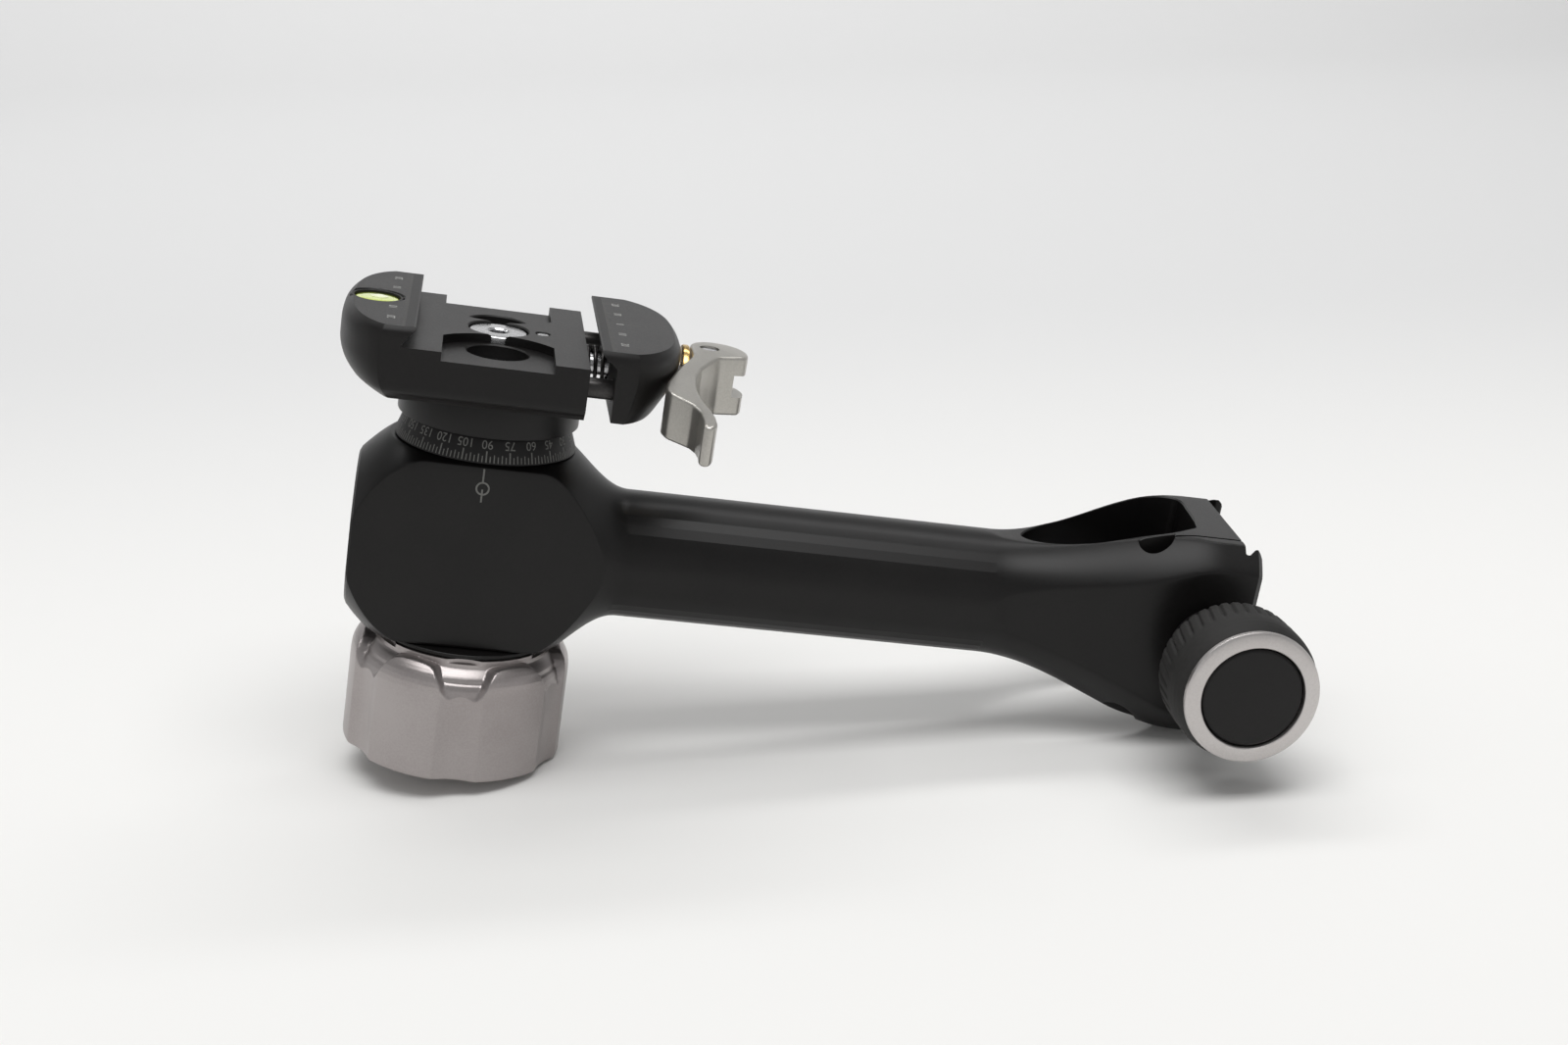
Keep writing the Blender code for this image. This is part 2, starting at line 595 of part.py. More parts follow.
def level_pieces(rim_material, liquid_material, bubble_material, parent):
    """Round level: rim cup, vial with its liquid, and the bubble's lens on top."""
    centre = (-LEVEL_X, 0, 0)
    low = LEVEL_TOP - LEVEL_DEPTH
    floor = low + LEVEL_RIM
    cup = ((LEVEL_RADIUS + LEVEL_RIM, low), (LEVEL_RADIUS + LEVEL_RIM, LEVEL_TOP), (LEVEL_RADIUS, LEVEL_TOP),
           (LEVEL_RADIUS, floor))
    turned("level_cup", cup, centre=centre, steps=SMALL_STEPS, material=rim_material, parent=parent)
    vial_top = LEVEL_TOP - LEVEL_RIM
    rod("level_vial", LEVEL_RADIUS - GAP, floor + GAP, vial_top, centre=centre, steps=SMALL_STEPS,
        material=liquid_material, parent=parent)
    rod("level_bubble", BUBBLE_RADIUS, vial_top + GAP, LEVEL_TOP, centre=centre,
        steps=SMALL_STEPS, material=bubble_material, parent=parent)


def movable_jaw(material, parent):
    """Sliding jaw with the same full outer edge, an undercut lip and bores for its rods."""
    layers = []
    height = JAW_TOP - JAW_BOTTOM
    for z_share, bulge_share in MOVING_BULGE_SHARES:
        z = JAW_BOTTOM + height * z_share
        arc = jaw_outline(MOVING_LIP, MOVING_BULGE * bulge_share, 1)
        outline = [(MOVING_LIP, -CLAMP_HALF_LENGTH)] + arc + [(MOVING_LIP, CLAMP_HALF_LENGTH)]
        layers.append([(x, y, z) for x, y in outline])
    jaw = stacked("movable_jaw", layers, material=material, parent=parent)
    reach = CLAMP_HALF_LENGTH + OVERRUN
    left = MOVING_LIP - OVERRUN
    corner = RAIL_TOP + UNDERCUT_RISE
    edge = JAW_TOP - LIP_THICKNESS
    beyond = edge + (edge - corner) * OVERRUN / MOVING_LIP_OVERHANG
    undercut = ((left, JAW_BOTTOM - OVERRUN), (MOVING_FACE, JAW_BOTTOM - OVERRUN), (MOVING_FACE, corner),
                (left, beyond))
    cut(jaw, prism("undercut_tool", undercut, -reach, reach, axis="Y"))
    for side in (-1, 1):
        cut(jaw, rod("guide_seat_tool", GUIDE_RADIUS + GAP, left, MOVING_FACE + GUIDE_IN_JAW + GAP, axis="X",
                     centre=(0, side * GUIDE_Y, ROD_Z), steps=SMALL_STEPS))
    far = MOVING_LIP + MOVING_BULGE + OVERRUN
    hole = ROD_RADIUS + SLIDE_GAP
    seat = SEAT_RADIUS + GAP
    spring_end = MOVING_FACE + guide_travel() + GAP
    seat_start = SEAT_RIGHT - SEAT_LENGTH - GAP
    spacer = SPACER_RADIUS + GAP
    profile = ((SPRING_BORE, left), (SPRING_BORE, spring_end), (hole, spring_end), (hole, seat_start),
               (seat, seat_start), (seat, SEAT_RIGHT), (spacer, SEAT_RIGHT), (spacer, far))
    cut(jaw, turned("jaw_rod_tool", profile, axis="X", centre=(0, 0, ROD_Z), steps=SMALL_STEPS))
    return jaw


def rod_ring(name, radius, left, right, material, parent):
    """A ring on the draw rod."""
    return washer(name, ROD_RADIUS + SLIDE_GAP, radius, left, right, axis="X", centre=(0, 0, ROD_Z),
                  steps=SMALL_STEPS, material=material, parent=parent)


def guide_rod(name, side, material, parent):
    return rod(name, GUIDE_RADIUS, BODY_RIGHT - GUIDE_IN_BODY, MOVING_FACE + GUIDE_IN_JAW, axis="X",
               centre=(0, side * GUIDE_Y, ROD_Z), steps=SMALL_STEPS, material=material, parent=parent)


def draw_rod(material, parent):
    """Rod that crosses the movable jaw and ends in the lever's eye."""
    body = rod("draw_rod", ROD_RADIUS, ROD_START, PIVOT_X, axis="X", centre=(0, 0, ROD_Z), steps=SMALL_STEPS,
               material=material, parent=parent)
    low = ROD_Z - EYE_HEIGHT / 2
    eye = rod("eye_tool", EYE_RADIUS, low, low + EYE_HEIGHT, centre=(PIVOT_X, 0, 0), steps=SMALL_STEPS)
    combine(body, "UNION", (eye,))
    cut(body, rod("eye_hole_tool", PIN_RADIUS + GAP, low - OVERRUN, low + EYE_HEIGHT + OVERRUN,
                  centre=(PIVOT_X, 0, 0), steps=SMALL_STEPS))
    return body


def lever_pin(material, parent):
    half = CHEEK_HEIGHT / 2 - GAP
    return rod("lever_pin", PIN_RADIUS, ROD_Z - half, ROD_Z + half, centre=(PIVOT_X, 0, 0), steps=SMALL_STEPS,
               material=material, parent=parent)


def return_spring(material, parent):
    """Helical spring on the draw rod that pushes the jaw open, as one unbroken tube."""
    start = spring_start()
    sides = 8
    steps = SPRING_CURLS * 10
    layers = []
    pitch = (SPRING_LENGTH - 2 * SPRING_WIRE) / SPRING_CURLS
    for k in range(steps + 1):
        turn = 2 * math.pi * SPRING_CURLS * k / steps
        x = start + SPRING_WIRE + pitch * turn / (2 * math.pi)
        outward = Vector((0, math.cos(turn), math.sin(turn)))
        centre = Vector((x, 0, ROD_Z)) + outward * SPRING_RADIUS
        angles = [2 * math.pi * s / sides for s in range(sides)]
        layers.append([centre + SPRING_WIRE * (outward * math.cos(a) + Vector((math.sin(a), 0, 0)))
                       for a in angles])
    print("least gap between curls in metres", round(pitch - 2 * SPRING_WIRE, 6))
    return stacked("return_spring", layers, material=material, parent=parent)


def lever_outline():
    """Plan of the lever round its pivot: a cam that rises evenly with the turn, then the handle."""
    cam = []
    for k in range(CAM_STEPS + 1):
        turn = CAM_TURN * k / CAM_STEPS
        height = CAM_BASE + CAM_RISE * turn
        facing = math.pi - turn
        cam.append((height * math.cos(facing) + CAM_RISE * math.sin(facing),
                    height * math.sin(facing) - CAM_RISE * math.cos(facing)))
    outer = [(LEVER_DEPTH * a, LEVER_LENGTH * b) for a, b in LEVER_OUTER_SHARES]
    inner = [(LEVER_DEPTH * a, LEVER_LENGTH * b) for a, b in LEVER_INNER_SHARES]
    return cam + outer + inner + [(-CAM_BASE, -CAM_FLAT)]


def cam_lever(material, parent):
    """Forked cam lever; its handle drops toward the tip so that fingers clear the jaw."""
    half = CHEEK_HEIGHT / 2
    lever = prism("cam_lever", lever_outline(), -half, half, material=material, parent=parent)
    top = ((-LEVER_FLAT, half), (-LEVER_LENGTH - OVERRUN, half - LEVER_TOP_DROP),
           (-LEVER_LENGTH - OVERRUN, half + OVERRUN), (-LEVER_FLAT, half + OVERRUN))
    wide = LEVER_DEPTH + OVERRUN
    cut(lever, prism("lever_top_tool", top, -wide, wide, axis="X"))
    cut(lever, prism("fork_tool", fork_outline(), -FORK_HEIGHT / 2, FORK_HEIGHT / 2))
    cut(lever, rod("pivot_hole_tool", PIN_RADIUS + GAP, -half - OVERRUN, half + OVERRUN, steps=SMALL_STEPS))
    return lever


def fork_outline():
    """Slot between the cheeks, open over the whole turn of the draw rod in it."""
    far = LEVER_DEPTH + OVERRUN
    entry = math.pi + math.asin(FORK_HALF_WIDTH / FORK_RADIUS)
    closed_way = math.pi - CAM_TURN
    exit_angle = closed_way - math.asin(FORK_HALF_WIDTH / FORK_RADIUS) + 2 * math.pi
    steps = SMALL_STEPS // 2
    arc = [entry + (exit_angle - entry) * k / steps for k in range(steps + 1)]
    spots = [(-far, -FORK_HALF_WIDTH)] + [(FORK_RADIUS * math.cos(a), FORK_RADIUS * math.sin(a)) for a in arc]
    way = (math.cos(closed_way), math.sin(closed_way))
    spots.append((far * way[0] + FORK_HALF_WIDTH * way[1], far * way[1] - FORK_HALF_WIDTH * way[0]))
    return spots + [(far, 0), (far, far), (-far, far)]


def lock_knob(material, parent):
    """Lobed metal knob: turned blank, six flutes and six stepped coves above them."""
    hole = SPINDLE_THREAD_RADIUS + GAP
    shoulder = KNOB_TOP - KNOB_SHOULDER_DROP
    profile = ((KNOB_RADIUS - KNOB_CHAMFER, KNOB_BOTTOM), (KNOB_RADIUS, KNOB_BOTTOM + KNOB_CHAMFER),
               (KNOB_SHOULDER_RADIUS, shoulder), (KNOB_TOP_RADIUS, KNOB_TOP))
    knob = turned("lock_knob", profile, steps=LOBES * 12, material=material, parent=parent)
    for k in range(LOBES):
        angle = 2 * math.pi * k / LOBES - math.pi / 2
        way = Vector((math.cos(angle), math.sin(angle), 0))
        cut(knob, rod("flute_tool", FLUTE_RADIUS, KNOB_BOTTOM - OVERRUN, KNOB_TOP + OVERRUN,
                      centre=way * (FLUTE_FLOOR + FLUTE_RADIUS), steps=ROUND_STEPS))
        cut(knob, cove_tool(way))
    seat = CAP_RADIUS + GAP
    seat_top = KNOB_BOTTOM + CAP_SUNK + CAP_THICKNESS + GAP
    inside = ((seat, KNOB_BOTTOM - OVERRUN), (seat, seat_top), (hole, seat_top), (hole, KNOB_TOP + OVERRUN))
    cut(knob, turned("knob_inside_tool", inside))
    return knob


def cove_tool(way):
    """Stepped round scoop whose floor runs out to the knob's side."""
    layers = []
    for drop, out in COVE_SHARES:
        z = KNOB_TOP + OVERRUN * (1 - drop) - COVE_HEIGHT * drop
        floor = COVE_TOP_FLOOR + (COVE_LOW_FLOOR - COVE_TOP_FLOOR) * out
        middle = way * (floor + COVE_RADIUS)
        angles = [2 * math.pi * k / ROUND_STEPS for k in range(ROUND_STEPS)]
        layers.append([middle + Vector((COVE_RADIUS * math.cos(a), COVE_RADIUS * math.sin(a), z))
                       for a in angles])
    return stacked("cove_tool", layers)


def knob_cap(material, parent):
    low = KNOB_BOTTOM + CAP_SUNK
    return rod("knob_cap", CAP_RADIUS, low, low + CAP_THICKNESS, steps=SMALL_STEPS, material=material,
               parent=parent)


def front_ring(name, inner, outer, back, front, **look):
    """A ring on the clamp knob's axis between two distances in front of the arm."""
    return washer(name, inner, outer, -front, -back, axis="Y", **look)


def knob_grip(material, parent):
    """Rubber grip: rounded front band, slanted ribs behind."""
    inner = CORE_RADIUS + GAP
    steps = RIBS * 4
    wave = (0, 1, 1, 0)
    layers = []
    for along_share, rise in GRIP_SHARES:
        y = -(GRIP_BACK + GRIP_LENGTH * along_share)
        radius = GRIP_NECK_RADIUS + (GRIP_RADIUS - GRIP_NECK_RADIUS) * rise
        depth = RIB_DEPTH * rise if along_share <= RIB_SHARE else 0
        angles = [2 * math.pi * k / steps + RIB_SLANT * along_share for k in range(steps)]
        radii = [radius - depth * wave[k % len(wave)] for k in range(steps)]
        layers.append([(r * math.cos(a), y, r * math.sin(a)) for a, r in zip(angles, radii)])
    for y in (-GRIP_FRONT, -GRIP_BACK):
        layers.append([(inner * math.cos(2 * math.pi * k / steps), y, inner * math.sin(2 * math.pi * k / steps))
                       for k in range(steps)])
    return stacked("knob_grip", layers, closed=True, material=material, parent=parent)


def clamp_knob_pieces(black, silver, rubber, steel, parent):
    """Knob that squeezes the clamp end: washer, core, rubber grip, bright ring, black face, stud."""
    stud_hole = STUD_RADIUS + GAP
    front_ring("knob_washer", stud_hole, KNOB_WASHER_RADIUS, WASHER_BACK, WASHER_BACK + KNOB_WASHER_THICKNESS,
               steps=SMALL_STEPS, material=steel, parent=parent)
    stud_front = CORE_BACK + STUD_IN_KNOB
    core = rod("knob_core", CORE_RADIUS, -CORE_FRONT, -CORE_BACK, axis="Y", material=black, parent=parent,
               steps=ROUND_STEPS)
    cut(core, rod("core_hole_tool", stud_hole, -stud_front - GAP, -CORE_BACK + OVERRUN, axis="Y",
                  steps=SMALL_STEPS))
    knob_grip(rubber, parent)
    front_ring("knob_ring", RING_INNER_RADIUS, RING_RADIUS, RING_BACK, RING_FRONT, steps=ROUND_STEPS,
               material=silver, parent=parent)
    rod("knob_face", RING_INNER_RADIUS - GAP, -RING_FRONT + FACE_SUNK, -RING_BACK, axis="Y", steps=ROUND_STEPS,
        material=black, parent=parent)
    rod("clamp_stud", STUD_RADIUS, -stud_front, STUD_REACH, axis="Y", steps=SMALL_STEPS, material=steel,
        parent=parent)


def rest_on_table(root):
    """Lower the tilted assembly on the table and centre it over the origin."""
    bpy.context.view_layer.update()
    graph = bpy.context.evaluated_depsgraph_get()
    spots = []
    for piece in bpy.data.objects:
        if piece.type == "MESH" and not piece.hide_render:
            seen = piece.evaluated_get(graph)
            mesh = seen.to_mesh()
            local = np.empty(len(mesh.vertices) * 3)
            mesh.vertices.foreach_get("co", local)
            world = np.array(seen.matrix_world)
            spots.append(local.reshape(-1, 3) @ world[:3, :3].T + world[:3, 3])
            seen.to_mesh_clear()
    spots = np.concatenate(spots)
    low = spots.min(0)
    high = spots.max(0)
    root.location = (-(low[0] + high[0]) / 2, -(low[1] + high[1]) / 2, -low[2])
    bpy.context.view_layer.update()


def main():
    clear_scene()
    black = surface("black_anodised", (0.018, 0.018, 0.020), 0.42, 0.6)
    dial_black = surface("dial_black", (0.016, 0.016, 0.017), 0.5, 0.5)
    silver = surface("warm_grey_anodised", (0.42, 0.40, 0.41), 0.34, 0.9)
    bright = surface("satin_nickel", (0.52, 0.50, 0.47), 0.3, 1.0)
    steel = surface("steel", (0.56, 0.56, 0.57), 0.28, 1.0)
    brass = surface("brass", (0.72, 0.52, 0.22), 0.25, 1.0)
    rubber = surface("rubber", (0.032, 0.032, 0.033), 0.75, 0.0)
    liquid = surface("level_liquid", (0.62, 0.72, 0.10), 0.15, 0.0)
    clear = surface("level_bubble", (0.86, 0.90, 0.55), 0.1, 0.0)
    polymer = surface("bearing_polymer", (0.22, 0.20, 0.16), 0.5, 0.0)

    root = pivot("lying_pose", None)
    root.rotation_euler = (0, LYING_ANGLE, 0)
    swing_arm(black, root)
    bearing_sleeve(polymer, root)
    thrust_washer(brass, root)
    lock_collar(black, root)

    rotor = pivot("tilt_axis", root)
    tilt_spindle(steel, rotor)
    dial_ring(dial_black, rotor)
    clamp_flange(black, rotor)
    clamp_body(black, rotor)
    centre_screw(steel, rotor)
    fixing_screw("fixing_screw_front", -1, steel, rotor)
    fixing_screw("fixing_screw_back", 1, steel, rotor)
    stop_pin(steel, rotor)
    level_pieces(dial_black, liquid, clear, rotor)
    draw_rod(steel, rotor)
    lever_pin(steel, rotor)
    return_spring(steel, rotor)

    slide = pivot("jaw_slide", rotor)
    movable_jaw(black, slide)
    rod_ring("brass_seat", SEAT_RADIUS, SEAT_RIGHT - SEAT_LENGTH, SEAT_RIGHT, brass, slide)
    rod_ring("spacer_washer", SPACER_RADIUS, SPACER_RIGHT - SPACER_THICKNESS, SPACER_RIGHT, steel, slide)
    rod_ring("thrust_ring", THRUST_RADIUS, THRUST_RIGHT - THRUST_THICKNESS, THRUST_RIGHT, brass, slide)
    guide_rod("guide_rod_front", -1, steel, slide)
    guide_rod("guide_rod_back", 1, steel, slide)

    lever_axis = pivot("lever_axis", rotor, (PIVOT_X, 0, ROD_Z))
    cam_lever(bright, lever_axis)

    knob_axis = pivot("lock_knob_axis", root)
    lock_knob(silver, knob_axis)
    knob_cap(black, knob_axis)

    clamp_axis = pivot("clamp_knob_axis", root, (CLAMP_KNOB_X, 0, 0))
    clamp_knob_pieces(black, silver, rubber, steel, clamp_axis)

    rest_on_table(root)


main()
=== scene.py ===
import json
import math

import bpy
import numpy as np
from mathutils import Matrix, Vector


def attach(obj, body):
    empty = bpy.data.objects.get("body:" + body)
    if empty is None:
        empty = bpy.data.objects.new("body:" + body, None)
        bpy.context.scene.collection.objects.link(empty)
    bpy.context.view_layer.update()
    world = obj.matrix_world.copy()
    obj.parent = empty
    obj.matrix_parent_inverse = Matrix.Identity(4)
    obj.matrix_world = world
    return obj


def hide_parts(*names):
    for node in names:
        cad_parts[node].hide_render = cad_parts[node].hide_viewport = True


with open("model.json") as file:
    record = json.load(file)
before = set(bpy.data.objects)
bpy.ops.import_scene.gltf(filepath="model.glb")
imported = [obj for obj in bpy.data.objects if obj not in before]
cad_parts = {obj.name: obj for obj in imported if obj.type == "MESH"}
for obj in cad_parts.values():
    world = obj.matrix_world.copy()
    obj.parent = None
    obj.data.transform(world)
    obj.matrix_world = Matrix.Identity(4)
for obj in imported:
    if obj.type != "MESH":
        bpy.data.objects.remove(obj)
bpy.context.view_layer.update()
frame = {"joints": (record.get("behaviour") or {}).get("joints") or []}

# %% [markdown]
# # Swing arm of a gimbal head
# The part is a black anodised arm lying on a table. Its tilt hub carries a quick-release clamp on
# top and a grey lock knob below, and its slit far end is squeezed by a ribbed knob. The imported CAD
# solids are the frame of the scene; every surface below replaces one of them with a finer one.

# %% [markdown]
# ## The arm's own frame
# The arm leans a little, because it rests on its knob and on its far end. All shapes are drawn in
# millimetres in the arm's own frame: X along the arm, Z along the tilt axis, zero where both
# cross. The record's tilt joint says where that frame lies on the table, so one matrix places all.

# %% Frame
tilt = next(j for j in frame["joints"] if j["name"] == "tilt")
ORIGIN = np.array(tilt["pos_m"])
UP = np.array(tilt["axis"])
ALONG = np.array([UP[2], 0.0, -UP[0]])
AWAY = np.array([0.0, 1.0, 0.0])
AXES = np.stack([ALONG, AWAY, UP])
MM = 0.001


def lay(points):
    """Turn millimetres in the arm's frame into metres on the table: origin plus x, y, z along its axes."""
    return ORIGIN + MM * (np.asarray(points, float) @ AXES)


print("the arm leans by", round(math.degrees(math.asin(UP[0])), 2), "degrees")

# %% [markdown]
# ## Surfaces from arrays
# A mesh here is a grid of points with quads between neighbours. One helper closes the grid round,
# caps its ends, and turns all faces outward by checking the sign of the volume that they enclose.

# %% Mesh helpers
SMOOTH_LIMIT = math.radians(30)


def shell(grid, ring=False):
    """Points and faces of a grid wrapped round its columns; its ends are capped, or joined for a ring."""
    rows, cols = grid.shape[:2]
    points = grid.reshape(-1, 3)
    row = np.arange(rows if ring else rows - 1)[:, None] * cols
    after = (row + cols) % (rows * cols)
    col = np.arange(cols)[None, :]
    turn = (col + 1) % cols
    quads = np.stack([row + col, row + turn, after + turn, after + col], -1).reshape(-1, 4)
    a, b, c, d = (points[quads[:, k]] for k in range(4))
    volume = (np.cross(a, b) * c).sum() + (np.cross(a, c) * d).sum()
    caps = [] if ring else [np.arange(cols)[::-1], np.arange(cols) + (rows - 1) * cols]
    for cap in caps:
        p = points[cap]
        volume += (np.cross(p[1:-1], p[2:]) * p[0]).sum()
    if volume < 0:
        quads = quads[:, ::-1]
        caps = [cap[::-1] for cap in caps]
    return points, quads, caps


def mesh_of(name, shells):
    """One mesh from several shells, written with foreach_set."""
    points = np.concatenate([s[0] for s in shells])
    starts = np.cumsum([0] + [len(s[0]) for s in shells[:-1]])
    polygons = [s[1].reshape(-1) + k for s, k in zip(shells, starts)]
    sizes = [np.full(len(s[1]), 4) for s in shells]
    for s, k in zip(shells, starts):
        for cap in s[2]:
            polygons.append(cap + k)
            sizes.append(np.array([len(cap)]))
    loops = np.concatenate(polygons).astype(np.int32)
    sizes = np.concatenate(sizes)
    mesh = bpy.data.meshes.new(name)
    mesh.vertices.add(len(points))
    mesh.vertices.foreach_set("co", lay(points).astype(np.float32).ravel())
    mesh.loops.add(len(loops))
    mesh.loops.foreach_set("vertex_index", loops)
    mesh.polygons.add(len(sizes))
    mesh.polygons.foreach_set("loop_start", np.concatenate([[0], np.cumsum(sizes)[:-1]]).astype(np.int32))
    mesh.update(calc_edges=True)
    return mesh


def shade(piece, limit=SMOOTH_LIMIT):
    """Round faces smooth, real edges sharp."""
    piece.data.shade_smooth()
    piece.data.set_sharp_from_angle(angle=limit)


def new_piece(name, *shells):
    piece = bpy.data.objects.new(name, mesh_of(name, shells))
    bpy.context.scene.collection.objects.link(piece)
    shade(piece)
    return piece


def carve(piece, *cutters, operation="DIFFERENCE", limit=SMOOTH_LIMIT):
    """Cut shells away from a piece with exact Booleans and keep only the result."""
    tools = [new_piece(piece.name + "_cutter", cutter) for cutter in cutters]
    for tool in tools:
        step = piece.modifiers.new("carve", "BOOLEAN")
        step.operation = operation
        step.object = tool
    graph = bpy.context.evaluated_depsgraph_get()
    mesh = bpy.data.meshes.new_from_object(piece.evaluated_get(graph))
    piece.modifiers.clear()
    piece.data = mesh
    for tool in tools:
        bpy.data.objects.remove(tool)
    shade(piece, limit)


def fit(piece, material, body, *nodes):
    """Give a piece its finish, let it move with its body and stand for CAD nodes."""
    piece.data.materials.clear()
    piece.data.materials.append(material)
    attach(piece, body)
    "slot" in material
    if nodes:
        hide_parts(*nodes)
    print(piece.name, "faces:", len(piece.data.polygons))


# %% [markdown]
# ## Curves for outlines and profiles
# Three small curve tools make nearly every outline: corners rounded by a short parabola, a smooth
# closed curve through a few points, and the S blend that a turned fillet follows.

# %% Curve helpers


def soften(points, radius, closed=True, steps=4):
    """Round each corner: start and end the given distance from it, and join them by a parabola."""
    p = np.asarray(points, float)
    before, after = np.roll(p, 1, 0), np.roll(p, -1, 0)
    reach = np.broadcast_to(np.asarray(radius, float), len(p))
    sides = []
    for other in (before, after):
        way = other - p
        length = np.linalg.norm(way, axis=1)
        sides.append(p + way * (np.minimum(reach, length * 0.45) / np.maximum(length, 1e-9))[:, None])
    t = np.linspace(0, 1, steps)[None, :, None]
    a, b = sides[0][:, None], sides[1][:, None]
    curve = (1 - t) ** 2 * a + 2 * t * (1 - t) * p[:, None] + t ** 2 * b
    if not closed:
        curve = np.concatenate([p[:1], curve[1:-1].reshape(-1, p.shape[1]), p[-1:]])
    return curve.reshape(-1, p.shape[1])


def smooth_loop(points, count):
    """Closed Catmull-Rom curve through the points, evenly spaced along its length."""
    p = np.asarray(points, float)
    t = np.linspace(0, 1, 24, endpoint=False)[None, :, None]
    a, b, c, d = (np.roll(p, k, 0)[:, None] for k in (1, 0, -1, -2))
    square, cube = 2 * a - 5 * b + 4 * c - d, 3 * b - a - 3 * c + d
    curve = 0.5 * (2 * b + (c - a) * t + square * t ** 2 + cube * t ** 3)
    return evenly(curve.reshape(-1, p.shape[1]), count)


def evenly(loop, count):
    """Points at equal steps along a closed line."""
    closed = np.concatenate([loop, loop[:1]])
    length = np.concatenate([[0], np.cumsum(np.linalg.norm(np.diff(closed, axis=0), axis=1))])
    at = np.linspace(0, length[-1], count, endpoint=False)
    return np.stack([np.interp(at, length, closed[:, k]) for k in range(closed.shape[1])], 1)


def s_blend(x, start, finish, low, high):
    """Low before start, high after finish, half a cosine wave between."""
    share = np.clip((np.asarray(x, float) - start) / (finish - start), 0, 1)
    return low + (high - low) * (1 - np.cos(math.pi * share)) / 2


def outward(loop):
    """Unit normals of a closed flat outline, pointing out of it."""
    way = np.roll(loop, -1, 0) - np.roll(loop, 1, 0)
    way /= np.maximum(np.linalg.norm(way, axis=1), 1e-9)[:, None]
    area = (loop[:, 0] * np.roll(loop[:, 1], -1) - np.roll(loop[:, 0], -1) * loop[:, 1]).sum()
    side = np.stack([way[:, 1], -way[:, 0]], 1)
    return side if area > 0 else -side


# %% [markdown]
# ## Turned and sawn shapes
# Rods, rings, washers and screws come off a lathe, so each is a profile turned round an axis.
# Plates and tools are outlines raised between two heights, with a small edge round each end.

# %% Lathe and prism
AXIS_ORDER = {"Z": (0, 1, 2), "X": (2, 0, 1), "Y": (0, 2, 1)}


def turned(profile, axis="Z", centre=(0, 0, 0), steps=96, ring=False):
    """Turn (radius, height) pairs round an axis: radius times cosine and sine across it, height along it."""
    profile = np.asarray(profile, float)
    angle = np.linspace(0, 2 * math.pi, steps, endpoint=False)
    r, h = profile[:, :1], np.repeat(profile[:, 1:], steps, 1)
    grid = np.stack([r * np.cos(angle), r * np.sin(angle), h], -1)
    grid = grid[..., AXIS_ORDER[axis]]
    return shell(grid + np.asarray(centre, float), ring=ring)


def rod_profile(radius, low, high, edge=0.25):
    return soften([(0.02, low), (radius, low), (radius, high), (0.02, high)], [0, edge, edge, 0], closed=False)


def ring_profile(inner, outer, low, high, edge=0.25):
    return soften([(inner, low), (outer, low), (outer, high), (inner, high)], edge)


def across(loop, height, axis="Z"):
    """Points of a flat outline set at a height along an axis."""
    a, b = loop[:, 0], loop[:, 1]
    h = np.broadcast_to(height, a.shape)
    order = {"Z": (a, b, h), "Y": (a, h, b), "X": (h, a, b)}[axis]
    return np.stack(order, -1)


def slab(loop, low, high, edge=0.0, axis="Z", steps=4):
    """Raise an outline between two heights; near both ends it draws in along a quarter circle."""
    loop = np.asarray(loop, float)
    if edge:
        turn = np.linspace(0, math.pi / 2, steps)
        height = np.concatenate([low + edge * (1 - np.cos(turn)), high - edge * (1 - np.cos(turn))[::-1]])
        draw = np.concatenate([edge * (1 - np.sin(turn)), (edge * (1 - np.sin(turn)))[::-1]])
    else:
        draw, height = np.zeros(2), np.array([low, high], float)
    normals = outward(loop)
    rows = [across(loop - normals * d, h, axis) for d, h in zip(draw, height)]
    return shell(np.stack(rows))


# %% [markdown]
# ## Shader maths as plain expressions
# A material is easier to read when its maths looks like maths. The class below wraps a socket, so
# that adding or multiplying two of them adds the Math node, and one method makes any other node.

# %% Shader class


